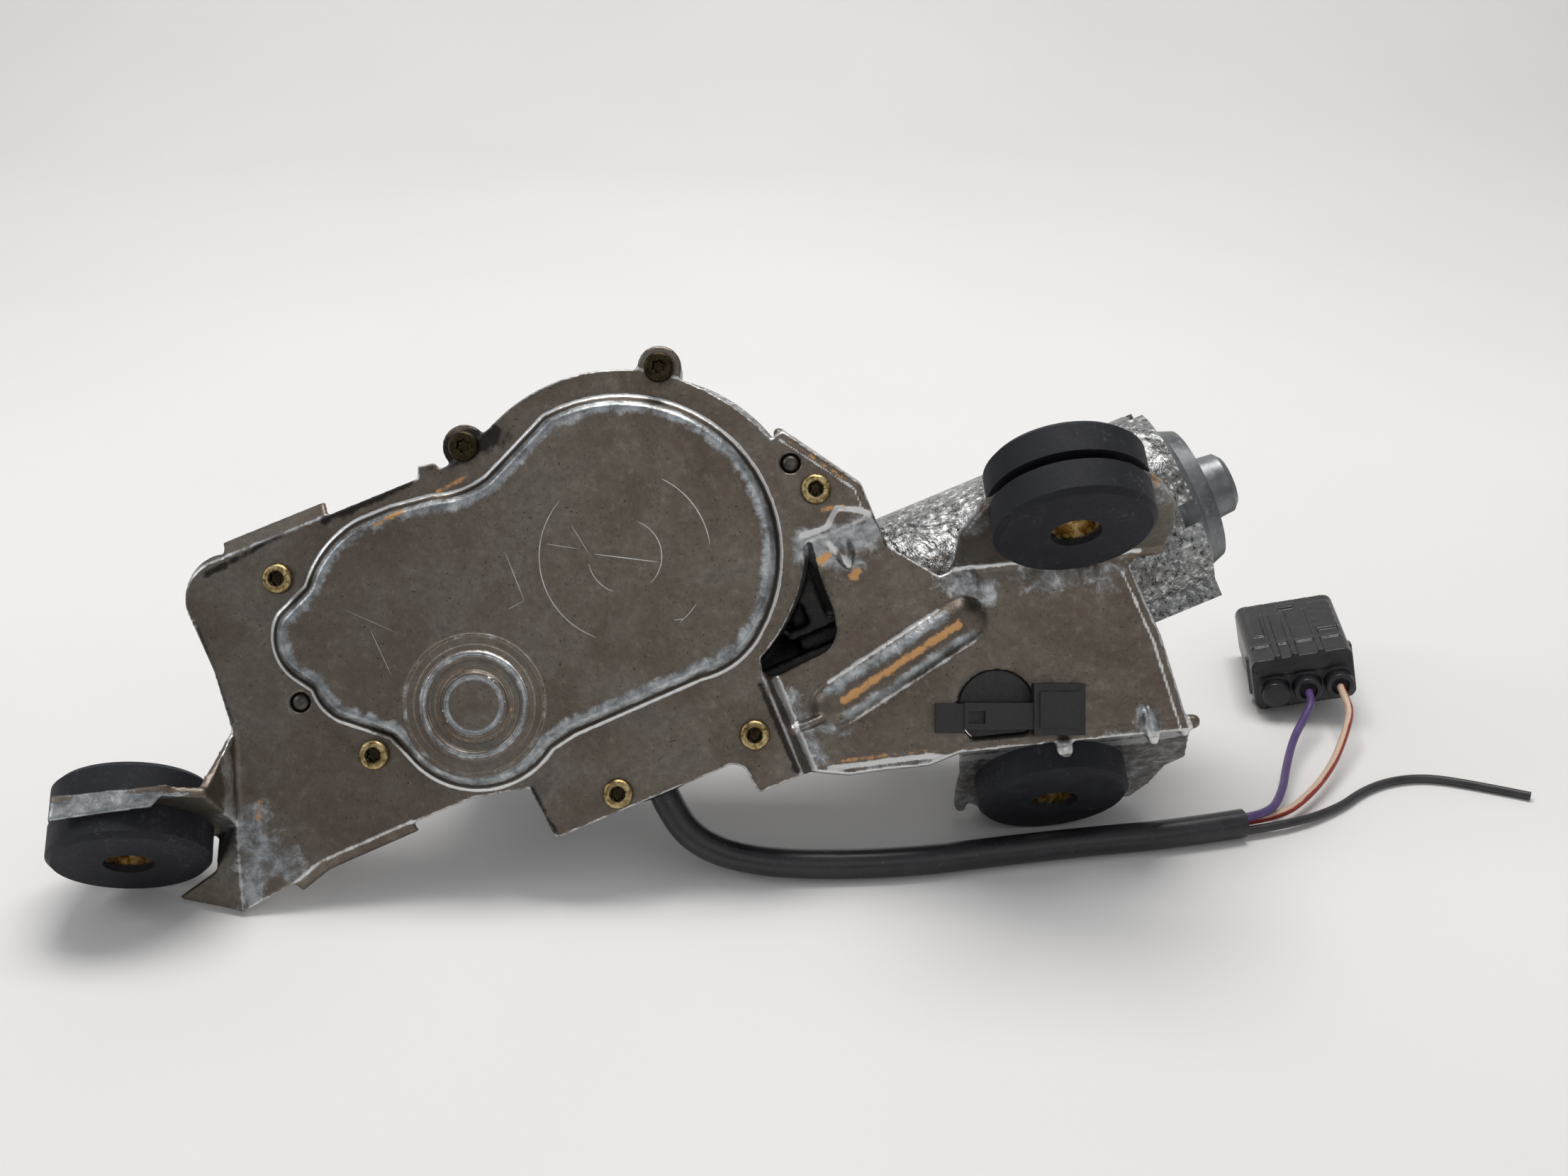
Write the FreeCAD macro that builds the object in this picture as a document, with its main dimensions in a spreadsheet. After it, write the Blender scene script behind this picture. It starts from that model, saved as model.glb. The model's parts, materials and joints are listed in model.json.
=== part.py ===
import FreeCAD, Part
import math
import os
import Sketcher
from FreeCAD import Placement, Rotation, Vector

# Rear windshield wiper motor unit, in millimetres.
# Every piece is drawn in the unit's own frame: the origin is on the output shaft's axis at the
# mounting plate's front face, X runs along the motor, Y runs back into the gearbox and Z runs up
# across the plate. The whole unit is then stood on its three rest points by one placement.

DIMENSIONS = {
    # how the unit stands
    "lean_angle": 27.0, "roll_angle": 22.5,
    "stand_x": -48.33, "stand_y": -28.948, "stand_height": 49.826,
    # mounting plate
    "plate_thickness": 2.5, "lobe_height": 3.0, "bevel_width": 2.8, "joggle_depth": 5.0,
    "boss_radius": 8.8, "boss_height": 1.2, "groove_radius": 12.8, "groove_depth": 0.8,
    "ear_radius": 5.8, "dowel_radius": 2.5, "clip_hole_radius": 10.2,
    # rubber mounts
    "rubber_radius": 20.5, "rubber_half_height": 10.25, "rubber_round": 1.4, "neck_radius": 9.0,
    "half_gap": 1.25, "sleeve_radius": 6.4, "sleeve_bore": 5.2, "sleeve_half_length": 8.5,
    # gearbox housing
    "gasket_thickness": 0.5, "wall": 2.8, "chamber_depth": 21.0, "wheel_room_radius": 40.7,
    "wheel_room_depth": 41.8, "tunnel_radius": 11.5, "tunnel_bore": 8.5,
    "tower_radius": 11.0, "tower_end": 74.0, "screw_post_radius": 5.3,
    # worm drive
    "worm_pitch_radius": 6.5, "wheel_pitch_radius": 38.5, "wheel_teeth": 60,
    "worm_core_radius": 4.9, "worm_tip_radius": 7.6, "worm_length": 34.0,
    "wheel_width": 10.0, "wheel_x": 56.5, "wheel_z": 22.6, "wheel_y": 35.5,
    "axle_radius": 5.0, "running_gap": 0.05,
    # crank, rod, sector and pinion
    "crank_radius": 5.2, "crank_pin_radius": 3.0, "rod_thickness": 4.0, "rod_front": 16.5,
    "rocker_x": -16.0, "rocker_z": 36.4, "rocker_axle_radius": 4.0, "rod_arm": 20.0,
    "gear_module": 1.5, "pinion_teeth": 14, "sector_teeth": 39,
    "gear_front": 7.5, "gear_width": 6.5, "shaft_radius": 6.0, "shaft_end": 103.5,
    # motor
    "motor_front": 106.0, "can_radius": 25.2, "band_radius": 27.65, "can_wall": 1.5,
    "band_start": 112.0, "band_end": 195.0, "boss_end": 212.0, "end_boss_radius": 9.2,
    "motor_shaft_radius": 4.0, "core_radius": 17.0, "magnet_radius": 18.2,
    # fasteners and cords
    "screw_head_radius": 4.0, "screw_head_height": 2.6, "screw_shank_radius": 2.2,
    "screw_length": 11.8, "harness_radius": 4.0, "wire_radius": 1.2, "cable_seal_radius": 5.6,
    # plug
    "plug_width": 30.7, "plug_length": 36.5, "plug_height": 17.3, "plug_wall": 2.0,
    "plug_yaw": -4.5, "plug_roll": 12.9,
}

doc = FreeCAD.newDocument("wiper_motor")
sizes = doc.addObject("Spreadsheet::Sheet", "sizes")
for row, (alias, value) in enumerate(DIMENSIONS.items(), start=1):
    sizes.set(f"A{row}", alias)
    sizes.set(f"B{row}", str(value))
    sizes.setAlias(f"B{row}", alias)
doc.recompute()

RIGHT = Vector(1, 0, 0)
BACK = Vector(0, 1, 0)
UP = Vector(0, 0, 1)
SPIN_X = Rotation(UP, RIGHT)
SPIN_Y = Rotation(UP, BACK)


def size(alias):
    """One driving dimension, read from the sheet."""
    return float(sizes.get(alias))


STAND = Placement(
    Vector(size("stand_x"), size("stand_y"), size("stand_height")),
    Rotation(RIGHT, -size("lean_angle")) * Rotation(BACK, -size("roll_angle")),
)
FLOOR = Placement(Vector(size("stand_x"), size("stand_y"), 0), Rotation())

THICKNESS = size("plate_thickness")
JOGGLE = size("joggle_depth")
MOTOR_Y = size("wheel_y")
MOTOR_Z = size("wheel_z") - size("wheel_pitch_radius") - size("worm_pitch_radius")
WHEEL = Vector(size("wheel_x"), 0, size("wheel_z"))
ROCKER = Vector(size("rocker_x"), 0, size("rocker_z"))
HOUSING_FRONT = THICKNESS + size("gasket_thickness")

# Each shelf tab lies in one tilted plane; its normal points out of the tab's lower face.
TAB_NORMAL = Vector(-0.254, -0.461, -0.850).normalize()
TAB_ACROSS = Vector(-TAB_NORMAL.z, 0, TAB_NORMAL.x).normalize()
TAB_FORWARD = TAB_NORMAL.cross(TAB_ACROSS)
TAB_CENTRES = {
    "left": Vector(-94.6, -1.8, 4.8),
    "upper": Vector(160.2, -21.3, -9.1),
    "lower": Vector(134.0, 24.2, -75.6),
}

nodes = []


# ---------------------------------------------------------------- building helpers

def finish(item, label, frame=STAND):
    """Name a finished piece and stand it up with the rest of the unit."""
    item.Label = label
    item.Placement = frame.multiply(item.Placement)
    nodes.append(item)
    return item


def cylinder(radius, length, x, y, z, turn=SPIN_Y):
    """A cylinder whose radius and length are expressions of the sheet's aliases."""
    item = doc.addObject("Part::Cylinder", "cylinder")
    item.setExpression("Radius", radius)
    item.setExpression("Height", length)
    item.Placement = Placement(Vector(x, y, z), turn)
    return item


def box(length, width, height, x, y, z):
    """A box from its low corner, its three sizes given as expressions."""
    item = doc.addObject("Part::Box", "block")
    item.setExpression("Length", length)
    item.setExpression("Width", width)
    item.setExpression("Height", height)
    item.Placement = Placement(Vector(x, y, z), Rotation())
    return item


def cut(base, tool):
    item = doc.addObject("Part::Cut", "cut")
    item.Base = base
    item.Tool = tool
    return item


def join(pieces):
    item = doc.addObject("Part::MultiFuse", "join")
    item.Shapes = pieces
    return item


def group(pieces):
    """Separate solids that share one node."""
    item = doc.addObject("Part::Compound", "group")
    item.Links = pieces
    return item


def ring(outer, inner, length, x, y, z, turn=SPIN_Y):
    return cut(cylinder(outer, length, x, y, z, turn), cylinder(inner, length, x, y, z, turn))


def lathe(name, outline, place):
    """A body turned about its own Z axis; each outline point is (radius, height) expressions."""
    body = doc.addObject("PartDesign::Body", name)
    planes = {plane.Role: plane for plane in body.Origin.OriginFeatures}
    sketch = body.newObject("Sketcher::SketchObject", name + "_outline")
    sketch.AttachmentSupport = [(planes["XZ_Plane"], "")]
    sketch.MapMode = "FlatFace"
    count = len(outline)
    for i in range(count):
        start = Vector(10 + i, i * i, 0)
        end = Vector(11 + i, (i + 1) ** 2, 0)
        sketch.addGeometry(Part.LineSegment(start, end), False)
    for i in range(count):
        sketch.addConstraint(Sketcher.Constraint("Coincident", i, 2, (i + 1) % count, 1))
    for i, point in enumerate(outline):
        for direction, expression in zip(("DistanceX", "DistanceY"), point):
            index = sketch.addConstraint(Sketcher.Constraint(direction, -1, 1, i, 1, 1.0))
            sketch.setExpression(f"Constraints[{index}]", expression)
    turned = body.newObject("PartDesign::Revolution", name + "_turn")
    turned.Profile = sketch
    turned.ReferenceAxis = (sketch, ["V_Axis"])
    turned.Angle = 360
    body.Tip = turned
    doc.recompute()
    body.Placement = place
    return body


def shaped(name, shape):
    """A feature whose shape is worked out below from the sheet's sizes."""
    item = doc.addObject("Part::Feature", name)
    item.Shape = shape
    return item


def tube_wire(steps, depth=0.0):
    """A closed wire in the plate's plane. A step is (x, z), or (middle x, z, end x, z) for an arc."""
    start = Vector(steps[0][0], depth, steps[0][1])
    edges = []
    here = start
    for step in steps[1:]:
        end = Vector(step[-2], depth, step[-1])
        if len(step) == 4:
            edges.append(Part.Arc(here, Vector(step[0], depth, step[1]), end).toShape())
        else:
            edges.append(Part.LineSegment(here, end).toShape())
        here = end
    if here.distanceToPoint(start) > 1e-6:
        edges.append(Part.LineSegment(here, start).toShape())
    return Part.Wire(edges)


def sheet_piece(steps, front, depth):
    """Flat piece of the plate's plane, from the depth front to front plus depth."""
    return Part.Face(tube_wire(steps, front)).extrude(BACK * depth)


def bridge(quads):
    """A solid ruled between successive four-cornered ends."""
    pieces = []
    for first, second in zip(quads, quads[1:]):
        wires = [Part.makePolygon(list(quad) + [quad[0]]) for quad in (first, second)]
        pieces.append(Part.makeLoft(wires, True, True))
    return pieces


def fuse_all(shapes):
    whole = shapes[0]
    for shape in shapes[1:]:
        whole = whole.fuse(shape)
    return whole


# ---------------------------------------------------------------- mounting plate

COVER_OUTLINE = [
    (-49.0, 60.6), (8.3, 60.3), (9.4, 63.4), (13.8, 62.4), (14.5, 60.4), (18.0, 60.4),
    (30.4, 65.3), (56.0, 69.6, 82.3, 57.4), (91.5, 46.5, 97.6, 34.5), (101.2, 35.4),
    (114.8, 14.8), (114.8, 6.0), (95.5, 6.0), (88.8, -5.2, 73.0, -17.4), (72.0, -22.2),
    (71.6, -49.8), (59.3, -49.8), (58.6, -45.6), (57.0, -41.0, 52.9, -40.2), (7.6, -40.4),
    (5.8, -39.9, 5.5, -38.6), (4.2, -25.6), (-3.5, -23.9, -10.1, -22.4), (-26.9, -22.4),
    (-27.3, -21.9), (-53.0, -22.4), (-62.0, -25.0), (-77.0, -27.0), (-69.5, -3.7),
    (-61.8, 18.0), (-60.2, 34.0), (-60.7, 49.2), (-57.9, 57.6, -49.0, 60.6),
]
LOBE_OUTLINE = [
    (10.3, 54.8), (17.8, 53.2, 25.0, 54.0), (44.9, 62.9), (91.6, 23.0, 75.4, -11.8),
    (68.0, -15.8, 57.0, -16.6), (20.9, -17.3), (14.0, -18.6), (-7.3, -21.3, -21.6, -6.0),
    (-24.1, 0.4), (-34.6, 9.4), (-37.4, 14.0, -38.2, 19.6), (-41.5, 24.5),
    (-43.4, 32.6, -38.9, 41.5), (-29.4, 45.4), (-21.6, 52.4, -10.1, 56.3), (-0.9, 56.3),
    (10.3, 54.8),
]
BRACKET_OUTLINE = [
    (95.5, -3.0), (115.4, -3.0), (118.6, -7.2), (124.9, -15.6), (129.4, -15.4), (176.0, -29.4),
    (172.4, -32.6), (173.0, -53.0), (170.6, -78.4), (111.4, -60.6), (103.5, -60.6),
    (92.3, -57.2), (83.0, -54.8), (75.0, -50.6), (75.0, -23.3), (88.3, -22.6),
    (92.4, -20.8, 94.6, -17.0), (95.5, -12.6),
]
TAB_OUTLINES = {
    "left": [(-12.2, -12.0), (-12.6, 21.0), (17.4, 21.0), (25.0, 18.0), (26.8, -2.0),
             (22.0, -8.0), (12.0, -14.0)],
    "upper": [(-28.0, -31.4), (-27.0, -13.0), (-22.0, 0.6), (-15.2, 9.2), (-9.0, 13.6),
              (13.5, 13.4), (22.7, 3.4), (27.8, -8.0), (29.0, -20.0), (27.0, -31.4)],
    "lower": [(-25.4, 20.4), (-24.6, 2.0), (-22.6, -17.8), (-18.0, -24.0), (25.6, -27.6),
              (30.0, -18.0), (33.0, -5.4), (37.6, -0.6), (36.0, 20.4)],
}
COVER_SCREWS = [(-35.2, 50.0), (-29.5, -2.0), (25.3, -35.7), (64.1, -35.2), (103.3, 17.9)]
EAR_SCREWS = [(77.7, 62.9), (22.8, 63.3)]
DOWELS = [(99.8, 26.7), (-42.4, 18.0)]
CLIP_CENTRE = (125.5, -53.6)
CABLE_X, CABLE_Y = 35.0, 12.0


def tab_point(tab, across, forward, out=0.0):
    """A point of a shelf tab from its centre; out is towards the tab's lower face."""
    return TAB_CENTRES[tab] + TAB_ACROSS * across + TAB_FORWARD * forward + TAB_NORMAL * out


def tab_quad(tab, ends, out=0.0):
    """Cross-section of a tab between two of its points."""
    half = THICKNESS / 2
    (a, b), (c, d) = ends
    return [tab_point(tab, a, b, out + half), tab_point(tab, c, d, out + half),
            tab_point(tab, c, d, out - half), tab_point(tab, a, b, out - half)]


def plate_quad(ends, front, second_front=None):
    """Cross-section of the flat plate between two of its points."""
    (a, b), (c, d) = ends
    other = front if second_front is None else second_front
    return [Vector(a, front, b), Vector(c, other, d),
            Vector(c, other + THICKNESS, d), Vector(a, front + THICKNESS, b)]


def shelf_tab(tab):
    """One flat tab with the hole that grips its rubber grommet."""
    half = THICKNESS / 2
    corners = [tab_point(tab, p, q, half) for p, q in TAB_OUTLINES[tab]]
    flat = Part.Face(Part.makePolygon(corners + [corners[0]])).extrude(TAB_NORMAL * -THICKNESS)
    hole = Part.makeCylinder(size("neck_radius"), THICKNESS * 2,
                             tab_point(tab, 0, 0, THICKNESS), TAB_NORMAL * -1)
    return flat.cut(hole)


def turned_edge(ends, outward, back):
    """An edge strip that rolls back from the plate."""
    (a, b), (c, d) = ends
    ox, oz = outward
    near = plate_quad(ends, 0.0)
    far = plate_quad(((a + ox, b + oz), (c + ox, d + oz)), back)
    return bridge([near, far])


def raised_lobe():
    """The pressed lobe, with sloping sides."""
    foot = tube_wire(LOBE_OUTLINE, 0.0)
    crown = Part.Face(foot).makeOffset2D(-size("bevel_width")).OuterWire
    crown.translate(BACK * -size("lobe_height"))
    return Part.makeLoft([foot, crown], True, True)


def stiffening_rib():
    """The long rounded bead across the bracket."""
    start, end = Vector(86.0, JOGGLE, -36.4), Vector(126.6, JOGGLE, -28.7)
    radius, height = 6.0, 3.2
    along = end - start
    ball_radius = (radius ** 2 + height ** 2) / (2 * height)
    sunk = ball_radius - height
    bar = Part.makeCylinder(ball_radius, along.Length, start + BACK * sunk, along)
    tips = [Part.makeSphere(ball_radius, point + BACK * sunk) for point in (start, end)]
    front = Part.makeBox(80, height + 1, 60, Vector(70, JOGGLE - height - 1, -60))
    return bar.multiFuse(tips).common(front)


def left_web():
    """Sheet that wraps from the cover's left ridge round to the left tab, in flat panels."""
    ridge_top = (Vector(-61.0, 0, 18.0), Vector(-1.2, 2.5, 0.4))
    ridge_middle = (Vector(-68.7, 0, -3.7), Vector(-0.2, 2.5, 0.8))
    ridge_foot = (Vector(-77.0, 0, -27.0), Vector(0.5, 2.5, 0))
    toe = (Vector(-93.0, 4.6, -17.2), Vector(0.8, 1.8, 0.4))
    side_low = (tab_point("left", 19.4, -9.8, 10.8), Vector(0.6, 2.3, 0.2))
    tab_front = (tab_point("left", 25.0, 18.0, THICKNESS / 2), Vector(-1.5, 1.3, 2.7))
    tab_back = (tab_point("left", 19.4, -9.8, THICKNESS / 2), TAB_NORMAL * -THICKNESS)
    panels = [(ridge_top, ridge_middle, tab_front), (ridge_middle, ridge_foot, side_low),
              (ridge_foot, toe, side_low), (ridge_middle, side_low, tab_back)]
    webs = []
    for panel in panels:
        front = [corner for corner, inward in panel]
        back = [corner + inward for corner, inward in panel]
        wires = [Part.makePolygon(side + [side[0]]) for side in (front, back)]
        webs.append(Part.makeLoft(wires, True, True))
    return webs


def mounting_plate():
    front = 0.0
    lobe = raised_lobe()
    boss = size("boss_radius")
    crown = -size("lobe_height")
    cover = sheet_piece(COVER_OUTLINE, front, THICKNESS)
    ears = [Part.makeCylinder(size("ear_radius"), THICKNESS, Vector(x, front, z), BACK)
            for x, z in EAR_SCREWS]
    bracket = sheet_piece(BRACKET_OUTLINE, JOGGLE, THICKNESS)
    side_step = bridge([plate_quad(((72.0, -22.2), (71.6, -49.8)), front),
                        plate_quad(((75.0, -23.3), (75.0, -50.6)), JOGGLE)])
    top_step = bridge([plate_quad(((96.8, 6.0), (114.8, 6.0)), front),
                       plate_quad(((95.5, -3.0), (115.4, -3.0)), JOGGLE)])
    pieces = [cover, lobe, bracket] + ears + side_step + top_step
    pieces.append(stiffening_rib())
    pieces += [shelf_tab(tab) for tab in TAB_OUTLINES]
    pieces += left_web()
    lip = [tab_point("left", p, q, out)
           for p, q, out in ((-12.6, 21.0, 5.2), (13.0, 21.0, 4.2), (17.4, 21.0, -1.25),
                             (-12.6, 21.0, -1.25))]
    pieces.append(Part.Face(Part.makePolygon(lip + [lip[0]])).extrude(TAB_FORWARD * 1.6))
    # rolled edges
    pieces += turned_edge(((-46.0, 60.6), (-17.2, 60.4)), (0.0, 4.0), 3.0)
    pieces += turned_edge(((-53.0, -22.4), (-27.3, -21.9)), (0.0, -3.0), 2.5)
    pieces += turned_edge(((-62.0, -25.0), (-53.0, -22.4)), (0.6, -2.9), 2.5)
    blank = fuse_all(pieces)
    hollow = lobe.copy()
    hollow.translate(BACK * THICKNESS)
    blank = blank.cut(hollow)
    rib_hollow = stiffening_rib()
    rib_hollow.translate(BACK * THICKNESS)
    blank = blank.cut(rib_hollow)
    knob = Part.makeCylinder(boss, size("boss_height") + 1, Vector(0, crown - size("boss_height"), 0),
                             BACK)
    moat = Part.makeCylinder(size("groove_radius"), size("groove_depth"), Vector(0, crown, 0), BACK)
    blank = blank.cut(moat.cut(Part.makeCylinder(boss, 10, Vector(0, -5, 0), BACK))).fuse(knob)
    # the bracket's lower edge gives way to the grommet beneath it
    relief = Part.makeCylinder(size("rubber_radius") + 0.4, 22.0,
                               tab_point("lower", 0, 0, 11.0), TAB_NORMAL * -1)
    keep = shelf_tab("lower")
    blank = blank.cut(relief.cut(keep))
    holes = [Part.makeCylinder(size("screw_shank_radius") + 0.3, 12, Vector(x, -4, z), BACK)
             for x, z in COVER_SCREWS + EAR_SCREWS]
    holes += [Part.makeCylinder(size("dowel_radius") + 0.1, 12, Vector(x, -4, z), BACK)
              for x, z in DOWELS]
    holes.append(Part.makeCylinder(size("clip_hole_radius"), 12,
                                   Vector(CLIP_CENTRE[0], 2, CLIP_CENTRE[1]), BACK))
    for hole in holes:
        blank = blank.cut(hole)
    finish(shaped("mounting_plate", blank), "mounting_plate")



# ---------------------------------------------------------------- rubber mounts

def rubber_mounts():
    """Three spool-shaped rubbers, each with a metal spacer sleeve."""
    edge, flat, gap = "sizes.rubber_radius", "sizes.rubber_half_height", "sizes.half_gap"
    rounding = "sizes.rubber_round"
    grommet = [("sizes.sleeve_radius", f"-{flat}"), (f"{edge} - {rounding}", f"-{flat}"),
               (edge, f"-{flat} + {rounding}"), (edge, f"-{gap}"),
               ("sizes.neck_radius", f"-{gap}"), ("sizes.neck_radius", gap), (edge, gap),
               (edge, f"{flat} - {rounding}"), (f"{edge} - {rounding}", flat),
               ("sizes.sleeve_radius", flat)]
    sleeve = [("sizes.sleeve_bore", "-sizes.sleeve_half_length"),
              ("sizes.sleeve_radius", "-sizes.sleeve_half_length"),
              ("sizes.sleeve_radius", "sizes.sleeve_half_length"),
              ("sizes.sleeve_bore", "sizes.sleeve_half_length")]
    for tab, centre in TAB_CENTRES.items():
        place = Placement(centre, Rotation(TAB_ACROSS, TAB_FORWARD, TAB_NORMAL, "ZXY"))
        finish(lathe(f"rubber_{tab}", grommet, place), f"grommet_{tab}")
        finish(lathe(f"spacer_{tab}", sleeve, place), f"sleeve_{tab}")


# ---------------------------------------------------------------- gearbox case

def chamber(front, depth, inset):
    """The room behind the lobe; inset moves its wall inwards."""
    outline = tube_wire(LOBE_OUTLINE, front)
    face = Part.Face(outline)
    if inset:
        face = Part.Face(face.makeOffset2D(-inset).OuterWire)
    return face.extrude(BACK * depth)


def plain_cylinder(radius, length, x, y, z, axis=BACK):
    return Part.makeCylinder(radius, length, Vector(x, y, z), axis)


def gearbox_housing():
    wall = size("wall")
    front = HOUSING_FRONT
    depth = size("chamber_depth")
    wheel_depth = size("wheel_room_depth")
    post = size("screw_post_radius")
    motor_front = size("motor_front")
    wheel_room = size("wheel_room_radius")
    solids = [
        chamber(front, depth + wall - front, 0),
        plain_cylinder(wheel_room + wall, wheel_depth + wall - front, WHEEL.x, front, WHEEL.z),
        plain_cylinder(size("tunnel_radius"), motor_front - 20, 18, MOTOR_Y, MOTOR_Z, RIGHT),
        plain_cylinder(size("band_radius"), 6, motor_front - 6, MOTOR_Y, MOTOR_Z, RIGHT),
        plain_cylinder(size("tower_radius"), size("tower_end") - depth, 0, depth, 0),
        plain_cylinder(9.0, 5.4, WHEEL.x, wheel_depth, WHEEL.z),
        Part.makeBox(50, 22, 26, Vector(8.5, front, -39.2)),
        Part.makeBox(48, 13, 12, Vector(55, 8.5, -33.0)),
        # the web, tongue and ledge that show through the window between cover and bracket
        Part.makeBox(17, 30, 29, Vector(84, 14.0, -23.0)),
        Part.makeBox(5, 7, 13, Vector(88.5, 8.5, -14.0)),
        Part.makeBox(19, 7, 2.2, Vector(81.5, 8.5, -16.5)),
    ]
    # posts for the cover screws, with webs back to the chamber wall
    for x, z in COVER_SCREWS + EAR_SCREWS:
        solids.append(plain_cylinder(post, 16, x, front, z))
    for (x, z), (end_x, end_z) in zip(
            [COVER_SCREWS[0], COVER_SCREWS[1], COVER_SCREWS[3], COVER_SCREWS[4]] + EAR_SCREWS,
            [(-24.0, 44.0), (-20.0, 2.0), (64.0, -17.0), (94.0, 18.0), (74.0, 58.0), (26.0, 52.0)]):
        along = Vector(end_x - x, 0, end_z - z)
        side = Vector(-along.z, 0, along.x).normalize() * 3.2
        corners = [Vector(x, front, z) + side, Vector(end_x, front, end_z) + side,
                   Vector(end_x, front, end_z) - side, Vector(x, front, z) - side]
        solids.append(Part.Face(Part.makePolygon(corners + [corners[0]])).extrude(BACK * 12))
    # four tapered ribs that brace the output tower
    for turn in (30, 120, 210, 300):
        rib = Part.Face(Part.makePolygon([Vector(9, depth, 0), Vector(19, depth, 0),
                                          Vector(10.6, 62, 0), Vector(9, 62, 0),
                                          Vector(9, depth, 0)])).extrude(UP * 2.4)
        rib.translate(Vector(0, 0, -1.2))
        rib.rotate(Vector(0, 0, 0), BACK, turn)
        solids.append(rib)
    # motor flange ears
    for angle in (60, -60):
        y = MOTOR_Y + 31.0 * math.cos(math.radians(angle))
        z = MOTOR_Z + 31.0 * math.sin(math.radians(angle))
        solids.append(plain_cylinder(5.0, 6, motor_front - 6, y, z, RIGHT))
    case = fuse_all(solids)
    for x, z in DOWELS:
        case = case.fuse(plain_cylinder(size("dowel_radius") + 3.0, 9, x, front, z))
    rooms = [
        chamber(front, depth - front, wall),
        plain_cylinder(wheel_room, wheel_depth - front, WHEEL.x, front, WHEEL.z),
        plain_cylinder(size("tunnel_bore"), 70, 36, MOTOR_Y, MOTOR_Z, RIGHT),
        plain_cylinder(5.5, 12, 24.5, MOTOR_Y, MOTOR_Z, RIGHT),
        plain_cylinder(3.5, 8, 17, MOTOR_Y, MOTOR_Z, RIGHT),
        plain_cylinder(9.0, 5, motor_front - 5, MOTOR_Y, MOTOR_Z, RIGHT),
        plain_cylinder(8.0, size("tower_end"), 0, 1, 0),
        plain_cylinder(size("axle_radius"), 20, WHEEL.x, 28, WHEEL.z),
        plain_cylinder(size("rocker_axle_radius"), 20, ROCKER.x, 8, ROCKER.z),
        Part.makeBox(45, 17, 21, Vector(11, front, -36.8)),
        Part.makeBox(52, 9, 7.6, Vector(54, 10.5, -30.8)),
    ]
    for room in rooms:
        case = case.cut(room)
    x, z = COVER_SCREWS[2]
    case = case.fuse(plain_cylinder(post, 16, x, front, z))
    bores = [plain_cylinder(size("screw_shank_radius"), 12, x, front, z)
             for x, z in COVER_SCREWS + EAR_SCREWS]
    bores += [plain_cylinder(size("dowel_radius"), 8, x, front, z) for x, z in DOWELS]
    bores.append(plain_cylinder(size("cable_seal_radius"), 5, CABLE_X, CABLE_Y, -41.0, UP))
    bores.append(plain_cylinder(size("cable_seal_radius") + 1, 1.8, CABLE_X, CABLE_Y, -41.0, UP))
    for bore in bores:
        case = case.cut(bore)
    for angle in (60, -60):
        y = MOTOR_Y + 31.0 * math.cos(math.radians(angle))
        z = MOTOR_Z + 31.0 * math.sin(math.radians(angle))
        case = case.cut(plain_cylinder(2.0, 8, motor_front - 7, y, z, RIGHT))
    finish(shaped("gearbox_housing", case), "gearbox_housing")


def housing_gasket():
    thin = size("gasket_thickness")
    front = THICKNESS
    outside = fuse_all([chamber(front, thin, 0),
                        plain_cylinder(size("wheel_room_radius") + size("wall"), thin,
                                       WHEEL.x, front, WHEEL.z),
                        Part.makeBox(50, thin, 26, Vector(8.5, front, -39.2))])
    # the gasket stays inside the cover where the window slot is open
    outside = outside.common(Part.Face(tube_wire(COVER_OUTLINE, front)).extrude(BACK * thin))
    inside = fuse_all([chamber(front, thin, size("wall")),
                       plain_cylinder(size("wheel_room_radius"), thin, WHEEL.x, front, WHEEL.z),
                       Part.makeBox(45, thin, 21, Vector(11, front, -36.8))])
    gasket = outside.cut(inside)
    for x, z in COVER_SCREWS + EAR_SCREWS + DOWELS:
        gasket = gasket.cut(plain_cylinder(3.0, thin, x, front, z))
    biggest = max(gasket.Solids, key=lambda solid: solid.Volume)
    finish(shaped("housing_gasket", biggest), "housing_gasket")


# ---------------------------------------------------------------- screws and dowels

def torx_socket(radius, depth):
    """Six-lobed recess as a pointed star with twelve corners."""
    corners = []
    for i in range(12):
        reach = radius if i % 2 == 0 else radius * 0.68
        angle = math.radians(30 * i)
        corners.append(Vector(reach * math.cos(angle), reach * math.sin(angle), 0))
    star = Part.makePolygon(corners + [corners[0]])
    return Part.Face(star).extrude(UP * depth)


def pan_screw(x, z):
    """One pan-head screw, its head against the plate's front face."""
    head, tall = size("screw_head_radius"), size("screw_head_height")
    crown = Part.makeCylinder(head, tall)
    crown = crown.makeFillet(1.3, [edge for edge in crown.Edges if edge.BoundBox.ZMin > tall - 0.1])
    socket = torx_socket(2.05, 1.7)
    socket.translate(Vector(0, 0, tall - 1.6))
    shank = Part.makeCylinder(size("screw_shank_radius"), size("screw_length"),
                              Vector(0, 0, -size("screw_length")))
    screw = crown.cut(socket).fuse(shank)
    screw.Placement = Placement(Vector(x, 0, z), Rotation(UP, BACK * -1))
    return screw


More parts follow.
